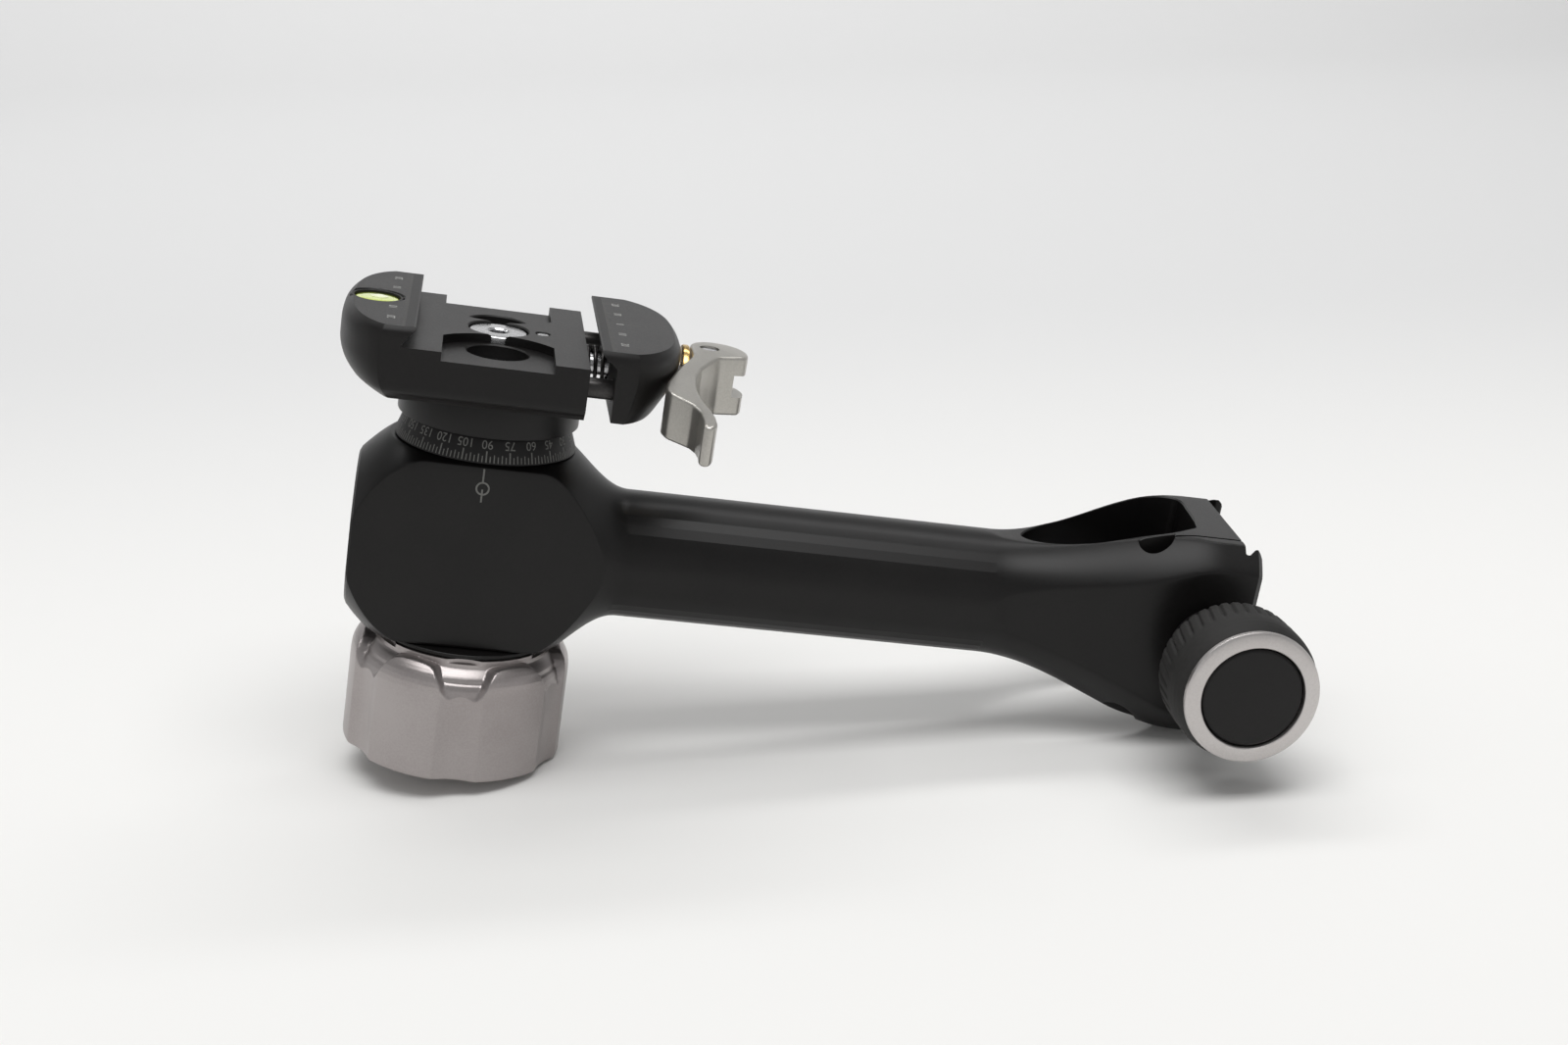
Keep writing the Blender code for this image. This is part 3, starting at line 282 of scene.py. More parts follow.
class Wire:
    """One output of a node, with arithmetic that adds Math nodes."""

    def __init__(self, tree, socket):
        self.tree = tree
        self.socket = socket

    def node(self, kind, settings=(), out=0, **inputs):
        """Add a node, set its settings first, then its sockets by value or by link."""
        made = self.tree.nodes.new(kind)
        for key, value in dict(settings).items():
            setattr(made, key, value)
        for key, value in inputs.items():
            wanted = key.replace("_", " ")
            socket = made.inputs[int(key[1:])] if key[0] == "i" and key[1:].isdigit() else made.inputs[wanted]
            if isinstance(value, Wire):
                self.tree.links.new(value.socket, socket)
            else:
                socket.default_value = value
        return Wire(self.tree, made.outputs[out])

    def maths(self, operation, *values):
        inputs = {"i" + str(k): v for k, v in enumerate(values)}
        return self.node("ShaderNodeMath", {"operation": operation}, **inputs)

    def __add__(self, other):
        return self.maths("ADD", self, other)

    __radd__ = __add__

    def __mul__(self, other):
        return self.maths("MULTIPLY", self, other)

    __rmul__ = __mul__

    def __sub__(self, other):
        return self.maths("SUBTRACT", self, other)

    def __rsub__(self, other):
        return self.maths("SUBTRACT", other, self)

    def ramp(self, low, high):
        """0 below low, 1 above high, smooth between."""
        return self.node("ShaderNodeMapRange", {"interpolation_type": "SMOOTHSTEP"}, Value=self,
                         From_Min=low, From_Max=high)

    def noise(self, scale, detail=2.0, stretch=(1, 1, 1)):
        place = self.node("ShaderNodeTexCoord", out=3)
        spread = self.node("ShaderNodeMapping", Vector=place, Scale=stretch)
        return self.node("ShaderNodeTexNoise", Vector=spread, Scale=scale, Detail=detail)

    def mix(self, first, second):
        """Colour between two colours by this mask."""
        mixed = self.node("ShaderNodeMix", {"data_type": "RGBA"}, out=2, i0=self)
        made = mixed.socket.node
        made.inputs[6].default_value = (*first, 1)
        made.inputs[7].default_value = (*second, 1)
        return mixed


def finish(name, metallic, coat=0.0, ior=1.45):
    """A Principled material and a wire to start its maths from."""
    material = bpy.data.materials.new(name)
    material.use_nodes = True
    tree = material.node_tree
    shader = tree.nodes["Principled BSDF"]
    shader.inputs["Metallic"].default_value = metallic
    shader.inputs["Coat Weight"].default_value = coat
    shader.inputs["IOR"].default_value = ior
    return material, shader, Wire(tree, None)


def connect(shader, wire, socket):
    wire.tree.links.new(wire.socket, shader.inputs[socket])


def bump(shader, height, strength, distance):
    """Small height on the surface, in metres, through a Bump node."""
    connect(shader, height.node("ShaderNodeBump", Height=height, Strength=strength, Distance=distance), "Normal")


# %% [markdown]
# ## Finishes
# Black anodised aluminium is blasted before it is dyed, so it scatters light softly: a fine grain
# moves its roughness and its bump, and a slow cloud its colour. The grey knob and the bright lever
# are the same metal with less dye, and the rubber is duller.

# %% Materials


def blasted(name, dark, light, metallic, rough, grain=2200.0, depth=0.00001, ior=1.45, coat=0.0, slot=None):
    """Blasted metal: a slow cloud between two colours, fine grain in roughness and bump."""
    material, shader, wire = finish(name, metallic, coat=coat, ior=ior)
    if slot:
        material["slot"] = slot
    cloud = wire.noise(55.0, 3.0)
    fine = wire.noise(grain, 2.0)
    connect(shader, (cloud * 0.6 + fine * 0.4).ramp(0.3, 0.7).mix(dark, light), "Base Color")
    connect(shader, fine * 0.12 + cloud * 0.06 + (rough - 0.09), "Roughness")
    bump(shader, fine, 0.35, depth)
    return material


ANODISED = {"metallic": 0.0, "ior": 1.34}
black = blasted("black_anodised", (0.0045, 0.0040, 0.0040), (0.0080, 0.0072, 0.0070), rough=0.40,
                slot="black_anodised", **ANODISED)
black_turned = blasted("black_anodised_turned", (0.0040, 0.0036, 0.0036), (0.0070, 0.0064, 0.0062), rough=0.36,
                       slot="black_anodised", **ANODISED)
dial_black = blasted("dial_black", (0.0050, 0.0046, 0.0046), (0.0085, 0.0078, 0.0078), rough=0.44,
                     slot="dial_black", **ANODISED)
band_grey = blasted("scale_band", (0.016, 0.016, 0.016), (0.024, 0.023, 0.023), rough=0.5,
                    slot="dial_black", **ANODISED)
dial_paint = blasted("dial_marks", (0.10, 0.10, 0.095), (0.16, 0.16, 0.15), 0.0, 0.6)
pale_paint = blasted("scale_marks", (0.32, 0.32, 0.31), (0.44, 0.44, 0.42), 0.0, 0.6)
grey = blasted("warm_grey_anodised", (0.335, 0.305, 0.30), (0.40, 0.37, 0.365), 0.9, 0.34, depth=0.000006,
               slot="warm_grey_anodised")
nickel = blasted("satin_nickel", (0.40, 0.385, 0.355), (0.50, 0.485, 0.45), 0.9, 0.34, depth=0.000012,
                 slot="satin_nickel")
ring_metal = blasted("ring_metal", (0.50, 0.475, 0.465), (0.58, 0.555, 0.545), 0.9, 0.32, depth=0.000004,
                     slot="steel")
steel = blasted("turned_steel", (0.46, 0.46, 0.47), (0.58, 0.58, 0.59), 1.0, 0.26, depth=0.000004, slot="steel")
dark_steel = blasted("blackened_steel", (0.050, 0.048, 0.047), (0.080, 0.076, 0.075), 0.8, 0.34, depth=0.000004,
                     slot="steel")
brass = blasted("turned_brass", (0.66, 0.45, 0.17), (0.76, 0.55, 0.24), 1.0, 0.24, depth=0.000004, slot="brass")
polymer = blasted("bearing_polymer", (0.19, 0.17, 0.13), (0.24, 0.22, 0.18), 0.0, 0.5, slot="bearing_polymer")
rubber = blasted("rubber", (0.013, 0.0125, 0.012), (0.022, 0.021, 0.020), 0.0, 0.66, grain=900.0, depth=0.00004,
                 ior=1.38, slot="rubber")
plastic = blasted("black_plastic", (0.0055, 0.0050, 0.0050), (0.0090, 0.0082, 0.0082), rough=0.42,
                  slot="knob_plastic", **ANODISED)
liquid = blasted("level_liquid", (0.50, 0.62, 0.07), (0.60, 0.70, 0.12), 0.0, 0.12, coat=1.0,
                 slot="level_liquid")
pale_bubble = blasted("level_bubble", (0.80, 0.86, 0.45), (0.88, 0.92, 0.58), 0.0, 0.1, coat=1.0,
                      slot="level_bubble")
print("finishes:", len(bpy.data.materials))

# %% [markdown]
# ## The arm's skin
# The real arm is turned first and milled after. Its skin is one function of place along the arm
# and of angle: the nearest of the turned radius and the flat milled faces. The angles are spread
# so that two grid lines always run exactly along the edge between a flat and the round.

# %% Arm radius and faces
HUB_END, ARM_END = -28.3, 186.4
END_CHAMFER = 1.3
SKEW = 0.08
ARM_CREASE = math.radians(9)
EDGE_POWER = 160.0
ARM_COLUMNS = 14


def arm_radius(x):
    """Turned radius: rounded hub, fillet, shaft, flare to the clamp end."""
    hub = 27.8 - 9.9 * np.clip((-13 - x) / 15.3, 0, None) ** 1.8
    return np.minimum(hub, s_blend(x, 13, 35, 27.8, 15.15)) + s_blend(x, 124, 177, 0, 15.65)


def face_y(x):
    """Half width between the milled side faces; the cutter enters the shaft where the width falls below it."""
    leaving = np.where(x < 60, 16.8, 14.65 + np.clip(127 - x, 0, None) * 0.12)
    return leaving + s_blend(x, 128, 170, 0, 9.75)


def face_top(x):
    leaving = np.where(x < 60, 24.0, 14.85 + np.clip(126 - x, 0, None) * 0.12)
    return leaving + s_blend(x, 128, 172, 0, 9.55)


def skew(x, y):
    """The groove's end is cut at a slight angle, so that places there shift along the arm by a share of y."""
    return s_blend(x, 150, 176, 0, SKEW) * y


def face_bottom(x):
    return np.where(x < 60, 21.6, face_top(x))


def quadrant(r, wide, tall, count):
    """Angles from a side face to the top or bottom face, gathered at the edges of the flats."""
    side = np.arccos(np.clip(wide / r, 0, 1))
    crown = math.pi / 2 - np.arccos(np.clip(tall / r, 0, 1))
    corner = np.arctan2(tall, wide)
    meet = side > crown
    side = np.where(meet, corner, side)
    crown = np.where(meet, corner, crown)
    side = np.clip(side, 0.04, 1.35)
    crown = np.clip(crown, side + 0.012, math.pi / 2 - 0.04)
    u = (1 - np.cos(np.linspace(0, math.pi, count + 1))) / 2
    stops = [np.zeros_like(r), side, crown, np.full_like(r, math.pi / 2)]
    parts = [a[:, None] + (b - a)[:, None] * u[None, :-1] for a, b in zip(stops, stops[1:])]
    return np.concatenate(parts, 1)


def arm_skin():
    """Radius by angle: the soft minimum of round and flats, a power mean with a very high power."""
    x = np.concatenate([[HUB_END, HUB_END + 0.25], np.linspace(HUB_END + 0.5, 40, 104), np.linspace(41, 116, 52),
                        np.linspace(116.8, ARM_END - END_CHAMFER, 112), [ARM_END - 0.6, ARM_END]])
    r, wide = arm_radius(x), face_y(x)
    up, down = face_top(x), face_bottom(x)
    first, last = quadrant(r, wide, up, ARM_COLUMNS), quadrant(r, wide, down, ARM_COLUMNS)
    right = np.full((len(x), 1), math.pi / 2)
    angle = np.concatenate([first, (math.pi - np.concatenate([first[:, 1:], right], 1))[:, ::-1],
                            math.pi + last, (2 * math.pi - np.concatenate([last[:, 1:], right], 1))[:, ::-1]], 1)
    c, s = np.abs(np.cos(angle)), np.abs(np.sin(angle))
    tall = np.where(angle < math.pi, up[:, None], down[:, None])
    flats = (c / wide[:, None]) ** EDGE_POWER + (s / tall) ** EDGE_POWER
    reach = (flats + (1 / r[:, None]) ** EDGE_POWER) ** (-1 / EDGE_POWER)
    edge = np.clip(x - HUB_END - 0.5, None, 0) + np.clip(ARM_END - x - END_CHAMFER, None, 0)
    reach = reach + edge[:, None]
    y = reach * np.cos(angle)
    grid = np.stack([x[:, None] + skew(x[:, None], y), y, reach * np.sin(angle)], -1)
    return shell(grid)


arm = new_piece("swing_arm_skin", arm_skin())
print("arm from", HUB_END, "to", ARM_END, "mm")

# %% [markdown]
# ## Openings in the arm
# The window, the slit and the dovetail groove let the end flex and grip its rail. Each is an
# outline raised along Z. The cutters of the window and of the round relief by the slit lean outward
# where they meet the arm's skin, whose height is known at every point, so these two openings get an
# even chamfer that follows the curved surface; the slit and the groove are cut straight.

# %% Cut the arm


def skin_height(x, y):
    """Height of the arm's top over a point: the lower of the flat face and the round."""
    x = x - skew(x, y)
    round_part = np.sqrt(np.clip(arm_radius(x) ** 2 - y ** 2, 1, None))
    return np.minimum(face_top(x), round_part)


def chamfered_cutter(loop, chamfer=0.35, beyond=3.0):
    """Straight wall along an outline that opens out at 45 degrees just under the skin, up and down."""
    normals = outward(loop)
    height = skin_height(loop[:, 0], loop[:, 1])
    rows = []
    for side in (-1, 1):
        pair = [(0.0, height - chamfer), (chamfer + beyond, height + beyond)]
        for lean, h in (pair[::-1] if side < 0 else pair):
            rows.append(across(loop + normals * lean, side * h))
    return shell(np.stack(rows))


window = smooth_loop([(131.4, 0), (132.2, 2.3), (134.3, 4.7), (138.5, 7.8), (143.6, 10.6), (150, 13.0), (157, 14.8),
                      (164.5, 16.0), (169.7, 16.3), (172.7, 15.2), (173.6, 12.4), (173.5, 7.0), (173.3, 1.5),
                      (173.0, -4.0), (172.2, -7.9), (169.7, -10.1), (166.3, -12.1), (162.6, -13.0), (157.5, -12.6),
                      (152, -11.7), (147.4, -10.6), (143.2, -9.0), (139, -7.2), (135.2, -5.1), (132.5, -2.7)], 150)
window[:, 0] += skew(window[:, 0], window[:, 1])
turns = np.linspace(math.pi, 2 * math.pi, 25)
relief = np.stack([160.0 + 4.3 * np.cos(turns), -13.97 + 4.3 * np.sin(turns)], 1)
slit = np.array([(161, -15.85), (189, -15.85), (189, -14.95), (161, -14.95)])
groove_side = [(181.9, 20.2), (182.9, 20.3), (184.4, 19.0), (185.9, 18.9), (188.7, 21.6)]
groove_reach = [0.4, 0.3, 0.3, 0.2, 0]
groove = soften(groove_side + [(x, -y) for x, y in groove_side[::-1]], groove_reach + groove_reach[::-1])
groove[:, 1] -= 0.6
groove[:, 0] += SKEW * groove[:, 1]
carve(arm, chamfered_cutter(window), chamfered_cutter(evenly(relief, 60), 0.2),
      slab(slit, -34, 34),
      slab(groove, -34, 34), turned([(12.3, -30), (12.3, 30)]), turned([(13.2, 22.3), (13.2, 30)]),
      turned([(3.3, -34), (3.3, 6.3)], axis="Y", centre=(174.6, 0, 0), steps=48), limit=ARM_CREASE)
fit(arm, black_turned, "arm", "swing_arm")

# %% [markdown]
# ## Pieces inside and under the hub
# A sleeve and a washer carry the spindle, and a thin collar keeps the lock knob off the hub. They
# are plain turned shapes, drawn as half sections.

# %% Hub pieces
HUB_LOW = -21.6


def lathe_piece(name, material, body, profile, node=None, ring=False, **more):
    piece = new_piece(name, turned(profile, ring=ring, **more))
    fit(piece, material, body, *([node] if node else []))
    return piece


lathe_piece("sleeve_turned", polymer, "arm", ring_profile(9.3, 12.0, HUB_LOW, 22.0), "bearing_sleeve",
            ring=True)
lathe_piece("washer_turned", brass, "arm", ring_profile(9.3, 12.9, 22.6, 24.0, 0.2), "thrust_washer", ring=True)
lathe_piece("collar_turned", black_turned, "arm", ring_profile(9.3, 20.5, -22.9, -21.9, 0.3), "lock_collar",
            ring=True)

# %% [markdown]
# ## Dial and flange
# The dial is a cone-faced ring. The flange above it is a plain thick disc that carries the clamp.

# %% Dial
DIAL_LOW, DIAL_TOP, DIAL_R0, DIAL_R1 = 24.3, 29.8, 20.9, 19.0
lathe_piece("dial_turned", dial_black, "rotor",
            soften([(9.3, DIAL_LOW), (DIAL_R0, DIAL_LOW), (DIAL_R1, DIAL_TOP), (9.3, DIAL_TOP)], 0.25),
            "dial_ring", ring=True, steps=144)
lathe_piece("flange_turned", black_turned, "rotor",
            soften([(9.3, 30.1), (20.8, 30.1), (20.8, 38.1), (9.3, 38.1)], [0.2, 0.35, 0.4, 0.2]), "clamp_flange",
            ring=True, steps=144)
lathe_piece("spindle_turned", steel, "rotor",
            soften([(0.02, -45.2), (6.6, -45.2), (6.6, -23.2), (9.0, -23.2),
                    (9.0, 38.1), (3.4, 38.1), (3.4, 27.8), (0.02, 27.8)],
                   [0, 0.8, 0.3, 0.4, 0.4, 0.3, 0.3, 0], closed=False), "tilt_spindle")

# %% [markdown]
# ## Clamp body with the fixed jaw
# The body is one outline that changes with height: straight at the front, right and back, and a
# full curve at the jaw. A table of heights and bulges gives the curve's size, and the channel with
# its undercut lip, the pockets and the holes are cut from above.

# %% Clamp body
BODY_LOW, RAIL, JAW_TOP = 38.4, 50.5, 54.9


def jaw_arc(inner, bulge, half, side, count):
    """Outer edge of a jaw: inner edge plus bulge times (1 - |y/span|^2.6)^0.45, the span a little over half."""
    y = half * np.sin(np.linspace(-math.pi / 2, math.pi / 2, count))
    out = bulge * np.clip(1 - np.abs(y / (half + 2.0)) ** 2.6, 0, 1) ** 0.45
    return np.stack([side * (inner + out), y], 1)


def jaw_layers(inner, side, far, table, low, high, bulge, rows=44):
    """Stack of jaw outlines whose bulge and length follow a table of height, bulge and length shares."""
    table = np.asarray(table)
    z = low + (high - low) * (1 - np.cos(np.linspace(0, math.pi, rows))) / 2
    share = (z - low) / (high - low)
    size = np.interp(share, table[:, 0], table[:, 1]) * bulge
    half = np.interp(share, table[:, 0], table[:, 2])
    layers = []
    for h, b, w in zip(z, size, half):
        arc = jaw_arc(inner, b, w, side, 64)
        back = np.linspace((side * inner, w), (far, w), 12)[1:]
        face = np.linspace((far, w), (far, -w), 16)[1:-1]
        front = np.linspace((far, -w), (side * inner, -w), 12)[:-1]
        layers.append(across(np.concatenate([arc, back, face, front]), h))
    return shell(np.stack(layers))


def curve_table(rows):
    """Smooth a table by averaging neighbours along its height, so that the jaw's side has no kinks."""
    p = np.asarray(rows, float)
    at = np.linspace(0, 1, 81)
    columns = []
    for k in range(1, p.shape[1]):
        column = np.interp(at, p[:, 0], p[:, k])
        for _ in range(10):
            column[1:-1] = (column[:-2] + 2 * column[1:-1] + column[2:]) / 4
        columns.append(column)
    return np.stack([at] + columns, 1)


fixed_table = curve_table([(0, 0.58, 26.2), (0.06, 0.70, 27.2), (0.14, 0.815, 28.6), (0.22, 0.885, 28.6),
                           (0.30, 0.94, 28.6), (0.40, 0.98, 28.6), (0.50, 1.0, 28.6), (0.76, 1.0, 28.6),
                           (0.86, 0.985, 28.6), (0.92, 0.955, 28.6), (0.96, 0.92, 28.2), (1.0, 0.87, 27.6)])
body = new_piece("clamp_body_skin", jaw_layers(18.2, -1, 19.9, fixed_table, BODY_LOW, JAW_TOP, 16.8))
channel = [(-20.8, RAIL), (-20.8, RAIL + 0.7), (-18.35, JAW_TOP - 0.9), (-18.2, JAW_TOP - 0.6),
           (-18.3, JAW_TOP + 3),
           (24, JAW_TOP + 3), (24, RAIL)]


def pocket(side):
    """Pocket at one end of the rails: two straight sides and an arc toward the middle screw."""
    turn = np.linspace(-0.918, 0.918, 33)
    arc = np.stack([15.5 * np.sin(turn), 22.1 - 15.5 * np.cos(turn)], 1)
    loop = np.concatenate([arc, [(12.3, 32), (-12.3, 32)]])
    return loop * (1, side)


def hole(radius, low, top, x, y, chamfer=0.3):
    """Round hole with a chamfer where it meets the face."""
    profile = [(radius, low), (radius, top - chamfer), (radius + chamfer + 1, top + 1)]
    return turned(profile, centre=(x, y, 0), steps=64)


cutters = [slab(np.array(channel), -32, 32, axis="Y")]
for side in (-1, 1):
    cutters += [slab(pocket(side), RAIL - 2.0, RAIL + 2), hole(6.9, 41.9, RAIL - 2.0, 0, side * 14.6),
                turned([(2.65, 8.4), (2.65, 24)], axis="X", centre=(0, side * 22, 44.9), steps=48)]
cutters += [hole(6.9, 45.5, RAIL, 0, 0), turned([(3.3, 30), (3.3, 47)], steps=48), hole(1.7, 48.3, RAIL, 10.1, 0, 0.2),
            hole(6.1, 50.6, JAW_TOP, -27.7, 0, 0.25),
            turned([(2.8, 8.2), (2.8, 13), (5.0, 13), (5.0, 24)], axis="X", centre=(0, 0, 44.9), steps=64)]
for side in (-1, 1):
    under = np.array([(side * 25.9, 38.1), (side * 26.2, BODY_LOW), (side * 27.1, 39.4), (side * 28.3, 40.4),
                      (side * 28.65, 40.8), (side * 33, 40.8), (side * 33, 38.1)])
    cutters.append(slab(under, -60, 30, axis="X"))
carve(body, *cutters)
fit(body, black, "rotor", "clamp_body")

# %% [markdown]
# ## Movable jaw
# The jaw is the same kind of stack, mirrored. Its inner side is cut back under a thin lip, so that
# the lip can hold a dovetail plate, and the seat for the thrust ring is turned into its nose.

# %% Movable jaw
ROD_Z = 44.9
moving_table = curve_table([(0, 0.735, 28.2), (0.03, 0.76, 28.6), (0.17, 0.83, 28.6), (0.30, 0.895, 28.6),
                            (0.45, 0.945, 28.6), (0.60, 0.985, 28.6), (0.72, 1.0, 28.6), (0.84, 0.99, 28.6),
                            (0.91, 0.965, 28.6), (0.955, 0.935, 28.2), (1.0, 0.90, 27.6)])
jaw = new_piece("movable_jaw_skin", jaw_layers(22.0, 1, 22.0, moving_table, 39.0, JAW_TOP, 19.6))
undercut = [(15, 34), (25.6, 34), (25.6, RAIL + 0.7), (22.15, JAW_TOP - 0.9), (21.95, JAW_TOP - 0.6),
            (15, JAW_TOP - 0.6)]
nose = [(5.0, 15), (5.0, 31.09), (2.85, 31.09), (2.85, 33.4), (4.9, 33.4), (4.9, 40.7), (5.8, 40.7), (5.8, 48)]
carve(jaw, slab(np.array(undercut), -32, 32, axis="Y"), turned(nose, axis="X", centre=(0, 0, ROD_Z), steps=64),
      *[turned([(2.6, 15), (2.6, 31.5)], axis="X", centre=(0, side * 22, ROD_Z), steps=48) for side in (-1, 1)])
fit(jaw, black, "jaw", "movable_jaw")

# %% [markdown]
# ## Rods, rings and spring
# The draw rod pulls the jaw through a brass seat, a steel spacer and a gold thrust ring, and two
# guide rods keep it square. The return spring is a circle carried along a helix.

# %% Rods and spring
AXIS_X = {"axis": "X", "centre": (0, 0, ROD_Z)}
lathe_piece("seat_turned", brass, "jaw", ring_profile(2.85, 4.6, 33.7, 40.7), "brass_seat", ring=True,
            steps=64, **AXIS_X)
lathe_piece("spacer_turned", steel, "jaw", ring_profile(2.85, 5.5, 41.0, 41.9, 0.2), "spacer_washer", ring=True,
            steps=64, **AXIS_X)
lathe_piece("thrust_ring_turned", brass, "jaw", ring_profile(2.85, 7.0, 42.2, 43.9, 0.5), "thrust_ring", ring=True,
            steps=72, **AXIS_X)
for side, word in ((-1, "front"), (1, "back")):
    lathe_piece("guide_" + word + "_turned", dark_steel, "jaw", rod_profile(2.3, 13.9, 31.2, 0.4),
                "guide_rod_" + word,
                axis="X", centre=(0, side * 22, ROD_Z), steps=48)
PIVOT = 48.6
EYE_HALF, SLOT_HALF = 2.3, 2.6
eye = turned(rod_profile(3.6, ROD_Z - EYE_HALF, ROD_Z + EYE_HALF, 0.4), centre=(PIVOT, 0, 0), steps=64)
draw = new_piece("draw_rod_turned", turned(rod_profile(2.5, 8.5, PIVOT, 0.3), steps=64, **AXIS_X))
carve(draw, eye, operation="UNION")
carve(draw, turned([(2.3, ROD_Z - 6), (2.3, ROD_Z + 6)], centre=(PIVOT, 0, 0), steps=48))
fit(draw, steel, "rotor", "draw_rod")


def helix(start, length, radius, wire, curls, points=56, sides=12):
    """Circle of wire carried along a helix round the draw rod."""
    t = np.linspace(0, 1, curls * points + 1)[:, None]
    turn = 2 * math.pi * curls * t
    s = np.linspace(0, 2 * math.pi, sides, endpoint=False)[None, :]
    x = start + wire + (length - 2 * wire) * t + wire * np.sin(s)
    r = radius + wire * np.cos(s)
    return shell(np.stack([x, r * np.cos(turn), ROD_Z + r * np.sin(turn)], -1))


spring = new_piece("return_spring_coil", helix(13.1, 12.5, 3.9, 0.45, 7))
fit(spring, dark_steel, "rotor", "return_spring")

# %% [markdown]
# ## Cam lever
# Seen from above, the lever is a spiral cam that rises evenly with the turn, two cheeks with a slot
# for the rod's eye, and a curved handle. The outline is raised with rounded edges, and the height
# of its top falls toward the tip, which is just another function of place.

# %% Lever
CAM_BASE, CAM_RISE, CAM_TURN = 4.4, 1.45, math.radians(205)


def cam_outline():
    """Cam with height base + rise times turn: its touching points are that height and its slope."""
    turn = np.linspace(0.05, CAM_TURN, 40)
    height = CAM_BASE + CAM_RISE * turn
    facing = math.pi - turn
    return np.stack([height * np.cos(facing) + CAM_RISE * np.sin(facing),
                     height * np.sin(facing) - CAM_RISE * np.cos(facing)], 1)


outer = [(1.9, -7.1), (-0.5, -10.7), (-3.0, -15.2), (-4.6, -20.5), (-5.0, -26.2), (-4.3, -32.4), (-2.9, -37.1),
         (-1.9, -40.9), (-1.7, -44.7), (-2.6, -47.2), (-3.9, -47.5)]
inner = [(-5.0, -46.6), (-4.8, -43.8), (-5.2, -39.5), (-6.5, -36.2), (-8.8, -33.8), (-11.0, -31.6), (-11.95, -28.6),
         (-11.4, -24.8), (-9.4, -18.6), (-7.0, -12.9), (-4.9, -8.6)]
lever_loop = evenly(np.concatenate([cam_outline(), np.array(outer), np.array(inner), [(-CAM_BASE, -6.6)]]), 420)
for _ in range(6):
    lever_loop = lever_loop * 0.5 + (np.roll(lever_loop, 1, 0) + np.roll(lever_loop, -1, 0)) * 0.25


def lever_surface(loop, half=7.0, edge=0.8, rows=8):
    """Outline raised between two heights with a quarter-round edge; the top falls beyond the cheeks."""
    turn = np.linspace(0, math.pi / 2, rows)
    normals = outward(loop)
    fall = np.clip(-loop[:, 1] - 6.0, 0, None) * 0.146
    sag = np.clip(-loop[:, 1] - 27.0, 0, None) * 0.05
    layers = []
    for side in (-1, 1):
        for t in (turn if side < 0 else turn[::-1]):
            plan = loop - normals * (edge * (1 - math.sin(t)))
            drop = edge * (1 - math.cos(t))
            h = -half + drop - sag if side < 0 else half - drop - fall
            layers.append(across(plan, h))
    grid = np.stack(layers) + np.array([PIVOT, 0, ROD_Z])
    return shell(grid)


lever = new_piece("cam_lever_skin", lever_surface(lever_loop))
closed_way = math.pi - CAM_TURN
turn = np.linspace(math.pi + 0.47, 2 * math.pi + closed_way - 0.47, 30)
along, aside = math.cos(closed_way), math.sin(closed_way)
fork = np.concatenate([[(-16, -3.0)], np.stack([6.6 * np.cos(turn), 6.6 * np.sin(turn)], 1),
                       [(16 * along + 3 * aside, 16 * aside - 3 * along)],
                       [(18, 0), (18, 16), (-16, 16)]])
fork = fork + np.array([PIVOT, 0])
carve(lever, slab(fork, ROD_Z - SLOT_HALF, ROD_Z + SLOT_HALF),
      turned([(2.3, ROD_Z - 9), (2.3, ROD_Z + 9)], centre=(PIVOT, 0, 0), steps=48))
fit(lever, nickel, "lever", "cam_lever")
lathe_piece("lever_pin_turned", steel, "rotor", rod_profile(2.0, ROD_Z - 6.7, ROD_Z + 6.7, 0.4), "lever_pin",
            centre=(PIVOT, 0, 0), steps=48)

# %% [markdown]
# ## Screws, pin and level
# The centre screw sits nearly flush between the rails, with a hexagon socket. The level is a cup
# with a yellow-green liquid and a pale bubble under its window.

# %% Small pieces
HEXAGON = np.array([(math.cos(a), math.sin(a)) for a in np.linspace(0, 2 * math.pi, 7)[:-1]])
screw_half = [(0.02, 28.2), (3.0, 28.2), (3.0, 45.8), (6.6, 45.8), (6.6, 50.0), (0.02, 50.0)]
screw = new_piece("centre_screw_turned", turned(soften(screw_half, [0, 0.4, 0.2, 0.4, 0.5, 0], closed=False)))
carve(screw, slab(HEXAGON * 2.3, 47.8, 52), turned([(2.3, 49.6), (3.2, 50.5)], steps=48))
fit(screw, steel, "rotor", "centre_screw")
for side, word in ((-1, "front"), (1, "back")):
    low_head = turned(rod_profile(6.6, 42.2, 45.4, 0.5), centre=(0, side * 14.6, 0))
    low_screw = new_piece("fixing_" + word + "_turned", low_head)
    carve(low_screw, slab(HEXAGON * 2.6 + (0, side * 14.6), 43.4, 46))
    fit(low_screw, steel, "rotor", "fixing_screw_" + word)
lathe_piece("stop_pin_turned", steel, "rotor", rod_profile(1.4, 48.6, 50.3, 0.3), "stop_pin",
            centre=(10.1, 0, 0), steps=32)
LEVEL = (-27.7, 0, 0)
lathe_piece("level_cup_turned", dial_black, "rotor",
            soften([(0.02, 50.9), (5.8, 50.9), (5.8, 54.7), (5.2, 54.7), (5.2, 51.5), (0.02, 51.5)],
                   [0, 0.2, 0.2, 0.15, 0.1, 0], closed=False), "level_cup", centre=LEVEL)
lathe_piece("level_liquid_dome", liquid, "rotor",
            [(4.9, 51.8), (4.9, 54.1), (4.4, 54.3), (3.0, 54.45), (1.5, 54.52), (0.02, 54.54)], "level_vial",
            centre=LEVEL)
